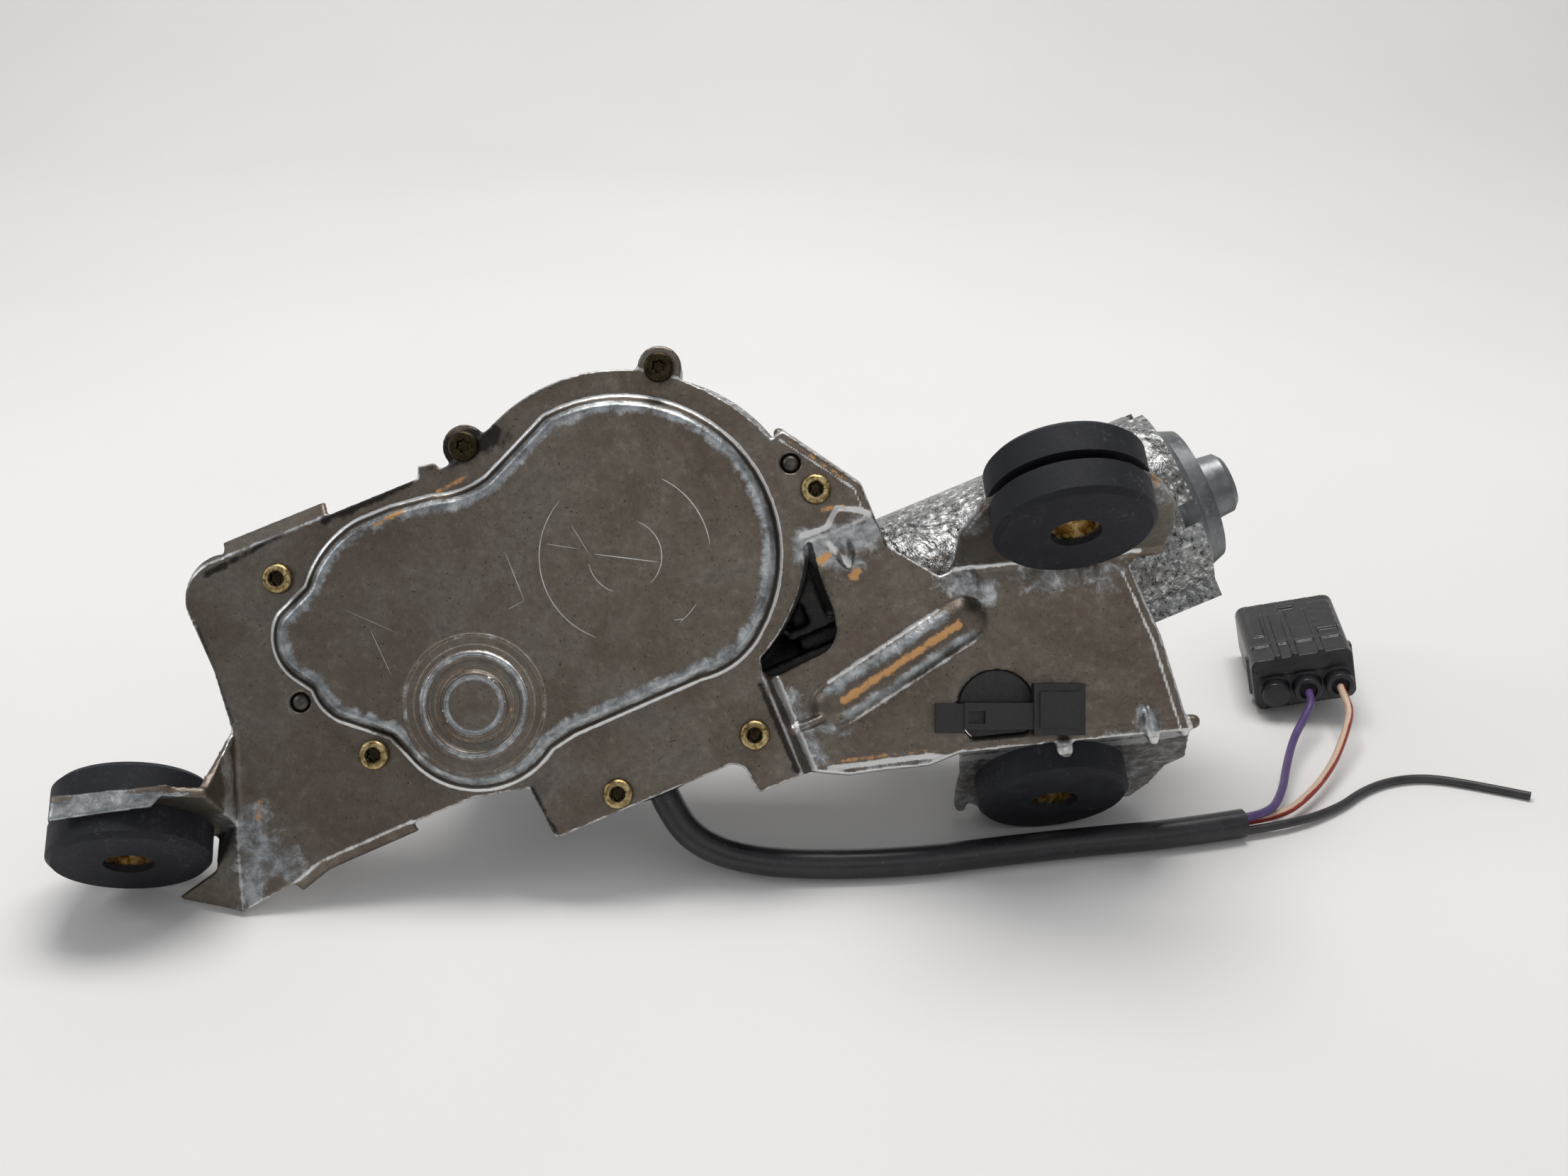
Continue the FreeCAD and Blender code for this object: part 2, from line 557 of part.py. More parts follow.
def screws_and_dowels():
    finish(shaped("cover_screws", Part.Compound([pan_screw(x, z) for x, z in COVER_SCREWS])),
           "cover_screws")
    finish(shaped("ear_screws", Part.Compound([pan_screw(x, z) for x, z in EAR_SCREWS])),
           "ear_screws")
    dowels = []
    for x, z in DOWELS:
        dowel = Part.makeCylinder(size("dowel_radius"), 8.5, Vector(0, 0, -1.5))
        tip = [edge for edge in dowel.Edges if edge.BoundBox.ZMin > 6.9]
        dowel = dowel.makeFillet(1.9, tip)
        dowel.Placement = Placement(Vector(x, HOUSING_FRONT + 4.0, z), Rotation(UP, BACK * -1))
        dowels.append(dowel)
    finish(shaped("locating_dowels", Part.Compound(dowels)), "locating_dowels")


# ---------------------------------------------------------------- clip on the bracket

def bracket_clip():
    """Plastic clip that grips the bracket through its round hole."""
    turn = Rotation(BACK, size("roll_angle"))
    centre = Vector(CLIP_CENTRE[0], 0, CLIP_CENTRE[1])
    front = JOGGLE

    def block(left, right, low, high, near, far):
        piece = Part.makeBox(right - left, far - near, high - low, Vector(left, near, low))
        piece.Placement = Placement(centre, turn).multiply(piece.Placement)
        return piece

    behind = front + THICKNESS
    clip = fuse_all([
        block(-16.4, -8.8, -6.2, 1.4, front - 4.0, front - 0.2),
        block(-9.0, 10.0, -5.2, 1.8, front - 5.0, front - 0.2),
        block(9.0, 22.4, -6.6, 6.8, front - 6.0, front - 0.2),
        block(10.5, 21.0, -4.6, 4.8, front - 7.0, front - 5.8),
        block(-8.4, 8.4, -3.2, 1.8, front - 0.4, behind + 1.6),
        Part.makeCylinder(size("clip_hole_radius") - 0.3, 1.2, centre + BACK * (behind - 1.3), BACK),
        block(-11.6, -4.0, -2.6, 1.6, behind + 0.3, behind + 1.6),
        block(4.0, 11.6, -2.6, 1.6, behind + 0.3, behind + 1.6),
        Part.makeCylinder(11.0, 1.3, centre + BACK * (behind + 0.3), BACK).cut(
            block(-14, 14, -14, -3.4, 0, 20)),
    ])
    clip = clip.cut(block(-8.0, -3.6, -3.6, -0.4, front - 6, front - 3.0))
    finish(shaped("bracket_clip", clip), "bracket_clip")


# ---------------------------------------------------------------- output shaft and its bearings

def output_tower():
    shaft, fit = "sizes.shaft_radius", "sizes.running_gap"
    finish(ring("8", f"{shaft} + {fit}", "11", 0, 20.0, 0), "shaft_bush_inner")
    finish(ring("8", f"{shaft} + {fit}", "10", 0, 60.0, 0), "shaft_bush_outer")
    finish(ring("8", f"{shaft} + {fit}", "3.4", 0, 70.4, 0), "shaft_seal")
    finish(ring("8.6", f"{shaft}", "1.4", 0, 75.0, 0), "shaft_circlip")
    front = "sizes.gear_front - 2.5"
    outline = [("0", front), (shaft, front), (shaft, "84"), ("sizes.shaft_radius - 1", "92.4"),
               ("4", "92.4"), ("4", "sizes.shaft_end - 1.6"), ("2.6", "sizes.shaft_end"),
               ("0", "sizes.shaft_end")]
    finish(lathe("spindle", outline, Placement(Vector(0, 0, 0), SPIN_Y)), "output_shaft")


def involute(angle):
    return math.tan(angle) - angle


def gear_teeth(teeth, indices, centre, first_angle, root, tip, front, width, gap=0.14):
    """Involute teeth standing on a root circle, as separate blades fused by the caller."""
    module = size("gear_module")
    pitch = module * teeth / 2
    pressure = math.radians(20)
    base = pitch * math.cos(pressure)
    half_pitch = math.pi / (2 * teeth) - gap / pitch
    blades = []
    for index in indices:
        middle = first_angle + index * 2 * math.pi / teeth
        flank = []
        for step in range(5):
            radius = root - 0.3 + (tip - root + 0.3) * step / 4
            slope = math.acos(base / radius) if radius > base else 0
            flank.append((radius, half_pitch + involute(pressure) - involute(slope)))
        outline = [(r, middle - half) for r, half in flank]
        outline += [(r, middle + half) for r, half in reversed(flank)]
        corners = [Vector(centre.x + r * math.cos(a), front, centre.z + r * math.sin(a))
                   for r, a in outline]
        blades.append(Part.Face(Part.makePolygon(corners + [corners[0]])).extrude(BACK * width))
    return blades


def output_pinion():
    teeth = int(size("pinion_teeth"))
    module = size("gear_module")
    pitch = module * teeth / 2
    towards = math.atan2(ROCKER.z, ROCKER.x)
    root, tip = pitch - module, pitch + 0.8 * module
    front, width = size("gear_front"), size("gear_width") + 1
    blades = gear_teeth(teeth, range(teeth), Vector(0, 0, 0), towards + math.pi / teeth,
                        root, tip, front, width)
    gear = fuse_all([plain_cylinder(root, width, 0, front, 0)] + blades)
    gear = gear.cut(plain_cylinder(size("shaft_radius"), width, 0, front, 0))
    finish(shaped("output_pinion", gear), "output_pinion")


def rocker_sector():
    """Toothed sector that rocks on its own axle; the rod pin stands on its back face."""
    teeth = int(size("sector_teeth"))
    module = size("gear_module")
    pitch = module * teeth / 2
    towards = math.atan2(-ROCKER.z, -ROCKER.x)
    root, tip = pitch - module, pitch + 0.8 * module
    front, width = size("gear_front") + 0.5, size("gear_width") - 0.5
    step = 2 * math.pi / teeth
    blades = gear_teeth(teeth, range(5), ROCKER, towards, root, tip, front, width)
    low, high = towards - step * 0.5, towards + step * 4.5
    rim = [Vector(ROCKER.x + root * math.cos(a), front, ROCKER.z + root * math.sin(a))
           for a in (low, (low + high) / 2, high)]
    hub = Vector(ROCKER.x, front, ROCKER.z)
    fan = Part.Wire([Part.LineSegment(hub, rim[0]).toShape(), Part.Arc(*rim).toShape(),
                     Part.LineSegment(rim[2], hub).toShape()])
    solids = [Part.Face(fan).extrude(BACK * width), plain_cylinder(8.0, width + 2, hub.x, front, hub.z)]
    arm = towards + step * 2
    pin = ROCKER + Vector(math.cos(arm), 0, math.sin(arm)) * size("rod_arm")
    solids.append(plain_cylinder(3.0, width + 1.4, pin.x, front, pin.z))
    sector = fuse_all(solids + blades)
    bore = size("rocker_axle_radius") + size("running_gap")
    sector = sector.cut(plain_cylinder(bore, 30, ROCKER.x, 0, ROCKER.z))
    finish(shaped("rocker_sector", sector), "rocker_sector")
    finish(cylinder("sizes.rocker_axle_radius", "18.5", ROCKER.x, 5.0, ROCKER.z), "rocker_axle")
    return pin


def connecting_rod(pin):
    """Flat rod from the crank pin to the sector's pin; the sector end is the opened pivot."""
    reach = (WHEEL - pin).normalize()
    crank = WHEEL + reach * size("crank_radius")
    front, thick = size("rod_front"), size("rod_thickness")
    side = Vector(-reach.z, 0, reach.x) * 4.2
    bar = [Vector(p.x, front, p.z) for p in (pin + side, crank + side, crank - side, pin - side)]
    rod = fuse_all([Part.Face(Part.makePolygon(bar + [bar[0]])).extrude(BACK * thick),
                    plain_cylinder(6.5, thick, pin.x, front, pin.z),
                    plain_cylinder(7.0, thick, crank.x, front, crank.z)])
    rod = rod.cut(plain_cylinder(3.1, thick, pin.x, front, pin.z))
    rod = rod.cut(plain_cylinder(size("crank_pin_radius") + size("running_gap"), thick,
                                 crank.x, front, crank.z))
    finish(shaped("connecting_rod", rod), "connecting_rod")
    finish(cylinder("sizes.crank_pin_radius", "14.2", crank.x, 14.8, crank.z), "crank_pin")
    finish(ring("5.4", "sizes.crank_pin_radius", "1.0", crank.x, 15.1, crank.z), "crank_clip")
    return crank


# ---------------------------------------------------------------- worm drive

def worm_wheel(crank):
    """Wheel with slanted teeth, a web, and a closed hub that carries the crank pin."""
    teeth = int(size("wheel_teeth"))
    pitch = size("wheel_pitch_radius")
    width = size("wheel_width")
    front = size("wheel_y") - width / 2
    root, tip = pitch - 1.5, pitch + 1.1
    slant = -width * size("worm_pitch_radius") ** -1 * (2 * pitch / teeth) / 2 / pitch
    profile = [(root, -1.2), (tip, -0.5), (tip, 0.5), (root, 1.2)]
    wires = []
    for depth, turn in ((front, -slant / 2), (front + width, slant / 2)):
        corners = []
        for tooth in range(teeth):
            middle = -math.pi / 2 + (tooth + 0.5) * 2 * math.pi / teeth + turn
            for radius, half in profile:
                angle = middle + half / radius
                corners.append(Vector(WHEEL.x + radius * math.cos(angle), depth,
                                      WHEEL.z + radius * math.sin(angle)))
        wires.append(Part.makePolygon(corners + [corners[0]]))
    wheel = Part.makeLoft(wires, True, True)
    for y in (front, front + width - 3):
        wheel = wheel.cut(plain_cylinder(33.0, 3, WHEEL.x, y, WHEEL.z)
                          .cut(plain_cylinder(12.0, 3, WHEEL.x, y, WHEEL.z)))
    wheel = wheel.fuse(plain_cylinder(12.0, 16.4, WHEEL.x, 25.0, WHEEL.z))
    wheel = wheel.cut(plain_cylinder(size("axle_radius") + size("running_gap"), 20,
                                     WHEEL.x, 29.5, WHEEL.z))
    wheel = wheel.cut(plain_cylinder(size("crank_pin_radius"), 4.0, crank.x, 25.0, crank.z))
    finish(shaped("worm_wheel", wheel), "worm_wheel")
    disc = ring("31", "20", "0.6", WHEEL.x, front + 2.4, WHEEL.z)
    notch = box("16", "1", "14", WHEEL.x - 34, front + 2.2, WHEEL.z - 7)
    finish(cut(disc, notch), "park_disc")
    finish(cylinder("sizes.axle_radius", "17.2", WHEEL.x, 30.0, WHEEL.z), "wheel_axle")


def armature():
    """Motor shaft with its worm, the laminated core, windings and commutator."""
    step = 2 * math.pi * size("wheel_pitch_radius") / size("wheel_teeth")
    core, tip = size("worm_core_radius"), size("worm_tip_radius")
    length = size("worm_length")
    turns = int(length / step / 2)
    start = size("wheel_x") - turns * step
    helix = Part.makeHelix(step, 2 * turns * step, core)
    outline = [Vector(core - 0.4, 0, -1.15), Vector(tip, 0, -0.45), Vector(tip, 0, 0.45),
               Vector(core - 0.4, 0, 1.15)]
    sweep = Part.BRepOffsetAPI.MakePipeShell(Part.Wire(helix.Edges))
    sweep.setFrenetMode(True)
    sweep.add(Part.makePolygon(outline + [outline[0]]))
    sweep.build()
    sweep.makeSolid()
    thread = sweep.shape()
    # the thread starts on the side that faces the wheel
    thread.Placement = Placement(Vector(start, MOTOR_Y, MOTOR_Z),
                                 Rotation(UP, BACK * -1, RIGHT, "ZXY"))
    radius = size("motor_shaft_radius")
    shaft = fuse_all([
        plain_cylinder(radius, 185.5, 24.5, MOTOR_Y, MOTOR_Z, RIGHT),
        plain_cylinder(core, length + 8, size("wheel_x") - length / 2 - 4, MOTOR_Y, MOTOR_Z, RIGHT),
    ])
    finish(shaped("armature_shaft", shaft.fuse(thread)), "armature_shaft")
    stack = cylinder("sizes.core_radius", "42", 136, MOTOR_Y, MOTOR_Z, SPIN_X)
    slots = []
    for i in range(10):
        slot = box("44", "1.6", "7", 135, -0.8, 11)
        slot.Placement = Placement(Vector(135, MOTOR_Y, MOTOR_Z), Rotation(RIGHT, 36 * i)).multiply(
            Placement(Vector(0, -0.8, 11), Rotation()))
        slots.append(slot)
    bore = cylinder("sizes.motor_shaft_radius", "42", 136, MOTOR_Y, MOTOR_Z, SPIN_X)
    finish(cut(stack, join(slots + [bore])), "armature_core")
    ends = [ring("15", "sizes.motor_shaft_radius", "8", x, MOTOR_Y, MOTOR_Z, SPIN_X)
            for x in (128, 178)]
    finish(group(ends), "armature_windings")
    finish(ring("10", "sizes.motor_shaft_radius", "12", 115, MOTOR_Y, MOTOR_Z, SPIN_X), "commutator")


# ---------------------------------------------------------------- motor case and brush gear

def motor_case():
    wall = "sizes.can_wall"
    can, front = "sizes.can_radius", "sizes.motor_front"
    outline = [("sizes.band_radius", front), ("sizes.band_radius", f"{front} + 2"),
               (can, f"{front} + 2"), (can, "192.5"), (f"{can} - 3", "197"), ("20.5", "198"),
               ("18.8", "202.5"), ("12", "203.7"), ("sizes.end_boss_radius", "204.5"),
               ("sizes.end_boss_radius - 0.6", "sizes.boss_end - 1.5"),
               ("sizes.end_boss_radius - 2.2", "sizes.boss_end"), ("0", "sizes.boss_end"),
               ("0", f"sizes.boss_end - {wall}"), ("7.6", f"sizes.boss_end - {wall}"),
               ("7.6", "201.5"), ("17", "200"), ("18.5", f"198 - {wall}"), (f"{can} - 4.5", "194.5"),
               (f"{can} - {wall}", "191"), (f"{can} - {wall}", front)]
    yoke = lathe("can", outline, Placement(Vector(0, MOTOR_Y, MOTOR_Z), SPIN_X))
    lugs = []
    screws = []
    for angle in (60, -60):
        y = MOTOR_Y + 31.0 * math.cos(math.radians(angle))
        z = MOTOR_Z + 31.0 * math.sin(math.radians(angle))
        lug = cylinder("5", "2", size("motor_front"), y, z, SPIN_X)
        hole = cylinder("2", "2", size("motor_front"), y, z, SPIN_X)
        clear = cylinder("sizes.can_radius - 1", "2", size("motor_front"), MOTOR_Y, MOTOR_Z, SPIN_X)
        lugs.append(cut(cut(lug, clear), hole))
        shank = cylinder("2", "9", size("motor_front") - 6.5, y, z, SPIN_X)
        head = cylinder("3.6", "2.4", size("motor_front") + 2, y, z, SPIN_X)
        screws.append(join([shank, head]))
    finish(join([yoke] + lugs), "motor_yoke")
    finish(group(screws), "motor_screws")
    # the band is split underneath, with a lapped lock block and a notched open end
    band = ring("sizes.band_radius", can, "sizes.band_end - sizes.band_start",
                size("band_start"), MOTOR_Y, MOTOR_Z, SPIN_X)
    steps = []
    for y, z, wide, tall, deep in ((-4.0, -28.8, 16.0, 6.1, 4.5), (26.0, 0.0, 12.0, 8.0, 3.5),
                                   (50.0, -44.0, 12.0, 7.0, 4.5)):
        steps.append(box("8", f"{wide}", f"{tall}", size("band_end") - deep, y, z))
    lock = box("23.5", "18", "8.6", 171.5, 19.6, MOTOR_Z - 27.65)
    slit = box("26", "4", "0.5", 170.0, 18.6, MOTOR_Z - 19.5)
    core = cylinder(can, "40", 165, MOTOR_Y, MOTOR_Z, SPIN_X)
    lap = cut(cut(lock, core), slit)
    finish(join([cut(band, join(steps)), lap]), "flux_band")
    magnets = []
    shell = "sizes.can_radius - sizes.can_wall"
    for side in (1, -1):
        full = ring(shell, "sizes.magnet_radius", "52", 131, MOTOR_Y, MOTOR_Z, SPIN_X)
        keep = box("54", "40", "18", 130, MOTOR_Y - 20, MOTOR_Z + (8 if side > 0 else -26))
        arc = doc.addObject("Part::Common", "arc")
        arc.Base = full
        arc.Tool = keep
        magnets.append(arc)
    finish(group(magnets), "field_magnets")


def motor_bearings():
    shaft, fit = "sizes.motor_shaft_radius", "sizes.running_gap"
    finish(ring("9", f"{shaft} + {fit}", "5", size("motor_front") - 5, MOTOR_Y, MOTOR_Z, SPIN_X),
           "drive_bearing")
    finish(ring("7.6", f"{shaft} + {fit}", "4.6", 202.5, MOTOR_Y, MOTOR_Z, SPIN_X), "end_bearing")
    finish(ring("10.8", "7.6", "1.0", 199.4, MOTOR_Y, MOTOR_Z, SPIN_X), "bearing_clip")
    stud = cylinder("3.5", "7.3", 17.0, MOTOR_Y, MOTOR_Z, SPIN_X)
    slot = box("1.2", "8", "1.0", 16.9, MOTOR_Y - 4, MOTOR_Z - 0.5)
    finish(cut(stud, slot), "thrust_screw")


def brush_gear():
    x = size("motor_front")
    plate = ring("sizes.can_radius - sizes.can_wall", "10.4", "2.5", x + 0.5, MOTOR_Y, MOTOR_Z, SPIN_X)
    finish(plate, "brush_plate")
    holders, brushes, springs, chokes = [], [], [], []
    for side in (1, -1):
        z = MOTOR_Z + side * 11.0
        low = min(z, z + side * 11.5)
        holder = box("11", "8", "11.5", x + 3.0, MOTOR_Y - 4, low)
        channel = box("9", "6", "11.5", x + 4.0, MOTOR_Y - 3, low)
        holders.append(cut(holder, channel))
        face = MOTOR_Z + side * 10.3
        brushes.append(box("8.8", "5.8", "6", x + 4.1, MOTOR_Y - 2.9, min(face, face + side * 6)))
        foot = MOTOR_Z + side * 16.4
        spring = ring("2.4", "1.7", "5.6", x + 8.5, MOTOR_Y, min(foot, foot + side * 5.6),
                      Rotation())
        springs.append(spring)
        chokes.append(cylinder("2.6", "9", x + 3.2, MOTOR_Y + side * 15.0, MOTOR_Z, SPIN_X))
    finish(group(holders), "brush_holders")
    finish(group(brushes), "carbon_brushes")
    finish(group(springs), "brush_springs")
    finish(group(chokes), "suppression_chokes")


def park_switch():
    """Contact plate under the cover, with three spring fingers that ride on the park disc."""
    plate = box("22", "2.2", "15", 57, 0.6, 30)
    finish(plate, "contact_plate")
    fingers = []
    for x, z in ((66.0, 42.0), (71.0, 38.0), (75.5, 33.5)):
        post = box("1.2", "29.6", "2.4", x, 2.8, z)
        fingers.append(post)
    finish(group(fingers), "park_contacts")


# ---------------------------------------------------------------- harness

def swept_tube(points, radius):
    """Straight runs joined by tangent arcs, swept with a round section."""
    edges = []
    here = points[0]
    radii = []
    for before, corner, after in zip(points, points[1:], points[2:]):
        back = (before - corner)
        ahead = (after - corner)
        turn = math.pi - back.getAngle(ahead)
        reach = 0.45 * min(back.Length, ahead.Length)
        radii.append(reach / math.tan(turn / 2))
        start = corner + back.normalize() * reach
        end = corner + ahead.normalize() * reach
        bulge = (back + ahead).normalize()
        inner = radii[-1] / math.cos(turn / 2) - radii[-1]
        edges.append(Part.LineSegment(here, start).toShape())
        edges.append(Part.Arc(start, corner + bulge * inner, end).toShape())
        here = end
    edges.append(Part.LineSegment(here, points[-1]).toShape())
    path = Part.Wire(edges)
    section = Part.Wire(Part.makeCircle(radius, points[0], points[1] - points[0]))
    tube = path.makePipeShell([section], True, False)
    print("cord length", round(path.Length, 1), "smallest bend", round(min(radii), 1),
          "volume ratio", round(tube.Volume / (math.pi * radius ** 2 * path.Length), 3))
    return tube


# Routes are measured from the point on the floor below the shaft's front end.
CABLE_EXIT = STAND.multVec(Vector(CABLE_X, CABLE_Y, -36.0)) - FLOOR.Base
CABLE_DROP = STAND.multVec(Vector(CABLE_X, CABLE_Y, -49.0)) - FLOOR.Base
SLEEVE_ROUTE = [CABLE_EXIT, CABLE_DROP, Vector(60.0, -7.0, 9.2),
                Vector(73.0, -7.6, 5.4), Vector(90.0, -7.2, 4.2), Vector(115.0, -4.2, 4.1),
                Vector(140.0, 1.6, 4.1), Vector(165.0, 5.8, 4.1), Vector(188.0, 7.8, 4.1),
                Vector(207.9, 12.4, 4.1)]
SLEEVE_END = SLEEVE_ROUTE[-1]
LEAD = (SLEEVE_END - SLEEVE_ROUTE[-2]).normalize()
ASIDE = Vector(-LEAD.y, LEAD.x, 0)
VIOLET_START = SLEEVE_END + Vector(0, 0, 1.8)
RED_START = SLEEVE_END + ASIDE * 1.6 + Vector(0, 0, -0.8)
BLACK_START = SLEEVE_END - ASIDE * 1.5 + Vector(0, 0, -1.6)
VIOLET_ROUTE = [VIOLET_START, VIOLET_START + LEAD * 8, Vector(221.8, 25.0, 6.2),
                Vector(226.0, 38.0, 6.6), Vector(231.4, 52.0, 7.4), Vector(237.8, 63.0, 8.6)]
RED_ROUTE = [RED_START, RED_START + LEAD * 12, Vector(229.2, 25.2, 4.2),
             Vector(239.2, 38.2, 5.6), Vector(246.0, 51.0, 8.0), Vector(250.6, 61.6, 10.8)]
BLACK_ROUTE = [BLACK_START, BLACK_START + LEAD * 14, Vector(238.0, 23.6, 1.5),
               Vector(247.6, 33.0, 1.3), Vector(257.4, 38.4, 1.3), Vector(268.6, 40.0, 1.3),
               Vector(282.0, 35.6, 1.3), Vector(295.0, 30.2, 1.3)]

PLUG = Placement(Vector(242.0, 73.9, 4.0),
                 Rotation(UP, size("plug_yaw")) * Rotation(BACK, -size("plug_roll")))
WIRE_PORTS = {"violet": Vector(0.6, 0, 6.6), "red": Vector(10.2, 0, 6.6)}


def harness():
    seal = "sizes.cable_seal_radius"
    grommet = ring(seal, "sizes.harness_radius + 0.05", "4.6", CABLE_X, CABLE_Y, -41.0, Rotation())
    collar = ring(f"{seal} + 1", "sizes.harness_radius + 0.05", "1.8", CABLE_X, CABLE_Y, -41.0,
                  Rotation())
    finish(join([grommet, collar]), "cable_grommet")
    finish(shaped("harness_sleeve", swept_tube(SLEEVE_ROUTE, size("harness_radius"))),
           "harness_sleeve", FLOOR)
    wire = size("wire_radius")
    for colour, route in (("violet", VIOLET_ROUTE), ("red", RED_ROUTE)):
        port = PLUG.multVec(WIRE_PORTS[colour])
        lead_in = PLUG.multVec(WIRE_PORTS[colour] + Vector(0, -6.0, 0))
        finish(shaped(f"wire_{colour}", swept_tube(route + [lead_in, port], wire)),
               f"wire_{colour}", FLOOR)
    finish(shaped("wire_black", swept_tube(BLACK_ROUTE, wire)), "wire_black", FLOOR)


def connector():
    """Sealed plug: a body with ribs and wire ports in front and an open socket behind."""
    width, length, height = size("plug_width"), size("plug_length"), size("plug_height")
    wall = size("plug_wall")
    body = Part.makeBox(width, length, height, Vector(-width / 2, 4.0, 0))
    upright = [edge for edge in body.Edges if abs(edge.BoundBox.YLength - length) < 1e-3]
    body = body.makeFillet(3.0, upright)
    pieces = [body]
    for x in (-7.6, -2.4, 5.4):
        pieces.append(Part.makeBox(1.6, length - 8, 1.3, Vector(x, 4.0, height - 0.4)))
    pieces.append(Part.makeBox(width + 1.6, 3.0, height - 5.0, Vector(-width / 2 - 0.8, 10.0, 2.5)))
    for x in (-9.0, WIRE_PORTS["violet"].x, WIRE_PORTS["red"].x):
        port = Part.makeCylinder(4.2, 5.0, Vector(x, 0, 6.6), BACK)
        pieces.append(port)
    shell = fuse_all(pieces)
    socket = Part.makeBox(width - 2 * wall, 22, height - 2 * wall - 3.2,
                          Vector(-width / 2 + wall, length + 4.0 - 22, wall + 2.2))
    shell = shell.cut(socket)
    for x in (WIRE_PORTS["violet"].x, WIRE_PORTS["red"].x):
        shell = shell.cut(Part.makeCylinder(2.6, 12.0, Vector(x, 0, 6.6), BACK))
    frame = FLOOR.multiply(PLUG)
    finish(shaped("plug_housing", shell), "plug_housing", frame)
    seals = []
    wire = size("wire_radius")
    for x in (WIRE_PORTS["violet"].x, WIRE_PORTS["red"].x):
        seal = Part.makeCylinder(2.6, 8.0, Vector(x, 1.0, 6.6), BACK)
        seals.append(seal)
    finish(shaped("wire_seals", Part.Compound(seals)), "wire_seals", frame)
    pins = [Part.makeBox(1.6, 14, 0.9, Vector(x, 18.5, 7.4)) for x in (-8.6, -2.9, 2.9, 8.6)]
    finish(shaped("plug_terminals", Part.Compound(pins)), "plug_terminals", frame)
    lever = fuse_all([Part.makeBox(9.0, 16.0, 1.8, Vector(-4.5, 16.0, -2.4)),
                      Part.makeBox(9.0, 4.0, 2.4, Vector(-4.5, 16.0, -2.4)),
                      Part.makeBox(9.0, 2.0, 2.6, Vector(-4.5, 30.0, -3.0))])
    finish(shaped("plug_lock", lever), "plug_lock", frame)


# ---------------------------------------------------------------- build, check and export

mounting_plate()
rubber_mounts()
gearbox_housing()
housing_gasket()
screws_and_dowels()
bracket_clip()
output_tower()
output_pinion()
rod_pin = rocker_sector()
crank_centre = connecting_rod(rod_pin)
worm_wheel(crank_centre)
armature()
motor_case()
motor_bearings()
brush_gear()
park_switch()
harness()
connector()
doc.recompute()

for item in doc.Objects:
    if "Invalid" in item.State or "Error" in item.State:
        raise RuntimeError(f"{item.Name} did not build: {item.State}")
for node in nodes:
    if node.Shape.isNull() or not node.Shape.isValid():
        raise RuntimeError(f"{node.Label} has no valid shape")
os.makedirs("parts", exist_ok=True)
for node in nodes:
    node.Shape.exportStep(f"parts/{node.Label}.step")
print(len(nodes), "nodes")
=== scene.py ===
import json
import math
import bmesh
import bpy
import numpy as np
from mathutils import Matrix, Vector

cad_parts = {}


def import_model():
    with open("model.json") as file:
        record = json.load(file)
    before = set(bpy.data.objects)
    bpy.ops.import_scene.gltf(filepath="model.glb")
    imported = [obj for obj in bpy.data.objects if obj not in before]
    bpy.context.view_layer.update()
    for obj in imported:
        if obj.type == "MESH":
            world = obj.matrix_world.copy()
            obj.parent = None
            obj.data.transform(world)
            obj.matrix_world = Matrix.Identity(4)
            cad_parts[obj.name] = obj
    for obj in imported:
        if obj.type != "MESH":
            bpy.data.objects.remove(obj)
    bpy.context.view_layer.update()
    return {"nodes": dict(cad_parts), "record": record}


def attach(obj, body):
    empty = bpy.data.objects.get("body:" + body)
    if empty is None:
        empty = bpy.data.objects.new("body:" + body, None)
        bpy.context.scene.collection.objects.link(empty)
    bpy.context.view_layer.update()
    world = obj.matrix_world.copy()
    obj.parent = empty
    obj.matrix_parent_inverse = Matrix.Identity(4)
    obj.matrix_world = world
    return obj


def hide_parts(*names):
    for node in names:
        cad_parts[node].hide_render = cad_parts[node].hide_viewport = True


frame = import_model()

NODES = frame["nodes"]
BODY_OF = {node: body for body, members in frame["record"]["behaviour"]["bodies"].items()
           for node in members}
MM = 0.001

# The unit's own frame, in millimetres: X along the motor, Y back into the gearbox, Z up the plate.
SHAFT_FRONT = Vector((-0.04833, -0.028948, 0.049826))
FLOOR_POINT = Vector((-0.04833, -0.028948, 0.0))
LEAN, ROLL = math.radians(27.0), math.radians(22.5)
TURN = Matrix.Rotation(-LEAN, 3, "X") @ Matrix.Rotation(-ROLL, 3, "Y")
TURN_ARRAY = np.array([list(row) for row in TURN])
TAB_NORMAL = Vector((-0.254, -0.461, -0.850)).normalized()
TAB_ACROSS = Vector((-TAB_NORMAL.z, 0, TAB_NORMAL.x)).normalized()
TAB_FORWARD = TAB_NORMAL.cross(TAB_ACROSS)
TAB_CENTRES = {"left": Vector((-94.6, -1.8, 4.8)), "upper": Vector((160.2, -21.3, -9.1)),
               "lower": Vector((134.0, 24.2, -75.6))}
LOBE_OUTLINE = [
    (10.3, 54.8), (17.8, 53.2, 25.0, 54.0), (44.9, 62.9), (91.6, 23.0, 75.4, -11.8),
    (68.0, -15.8, 57.0, -16.6), (20.9, -17.3), (14.0, -18.6), (-7.3, -21.3, -21.6, -6.0),
    (-24.1, 0.4), (-34.6, 9.4), (-37.4, 14.0, -38.2, 19.6), (-41.5, 24.5),
    (-43.4, 32.6, -38.9, 41.5), (-29.4, 45.4), (-21.6, 52.4, -10.1, 56.3), (-0.9, 56.3),
    (10.3, 54.8),
]
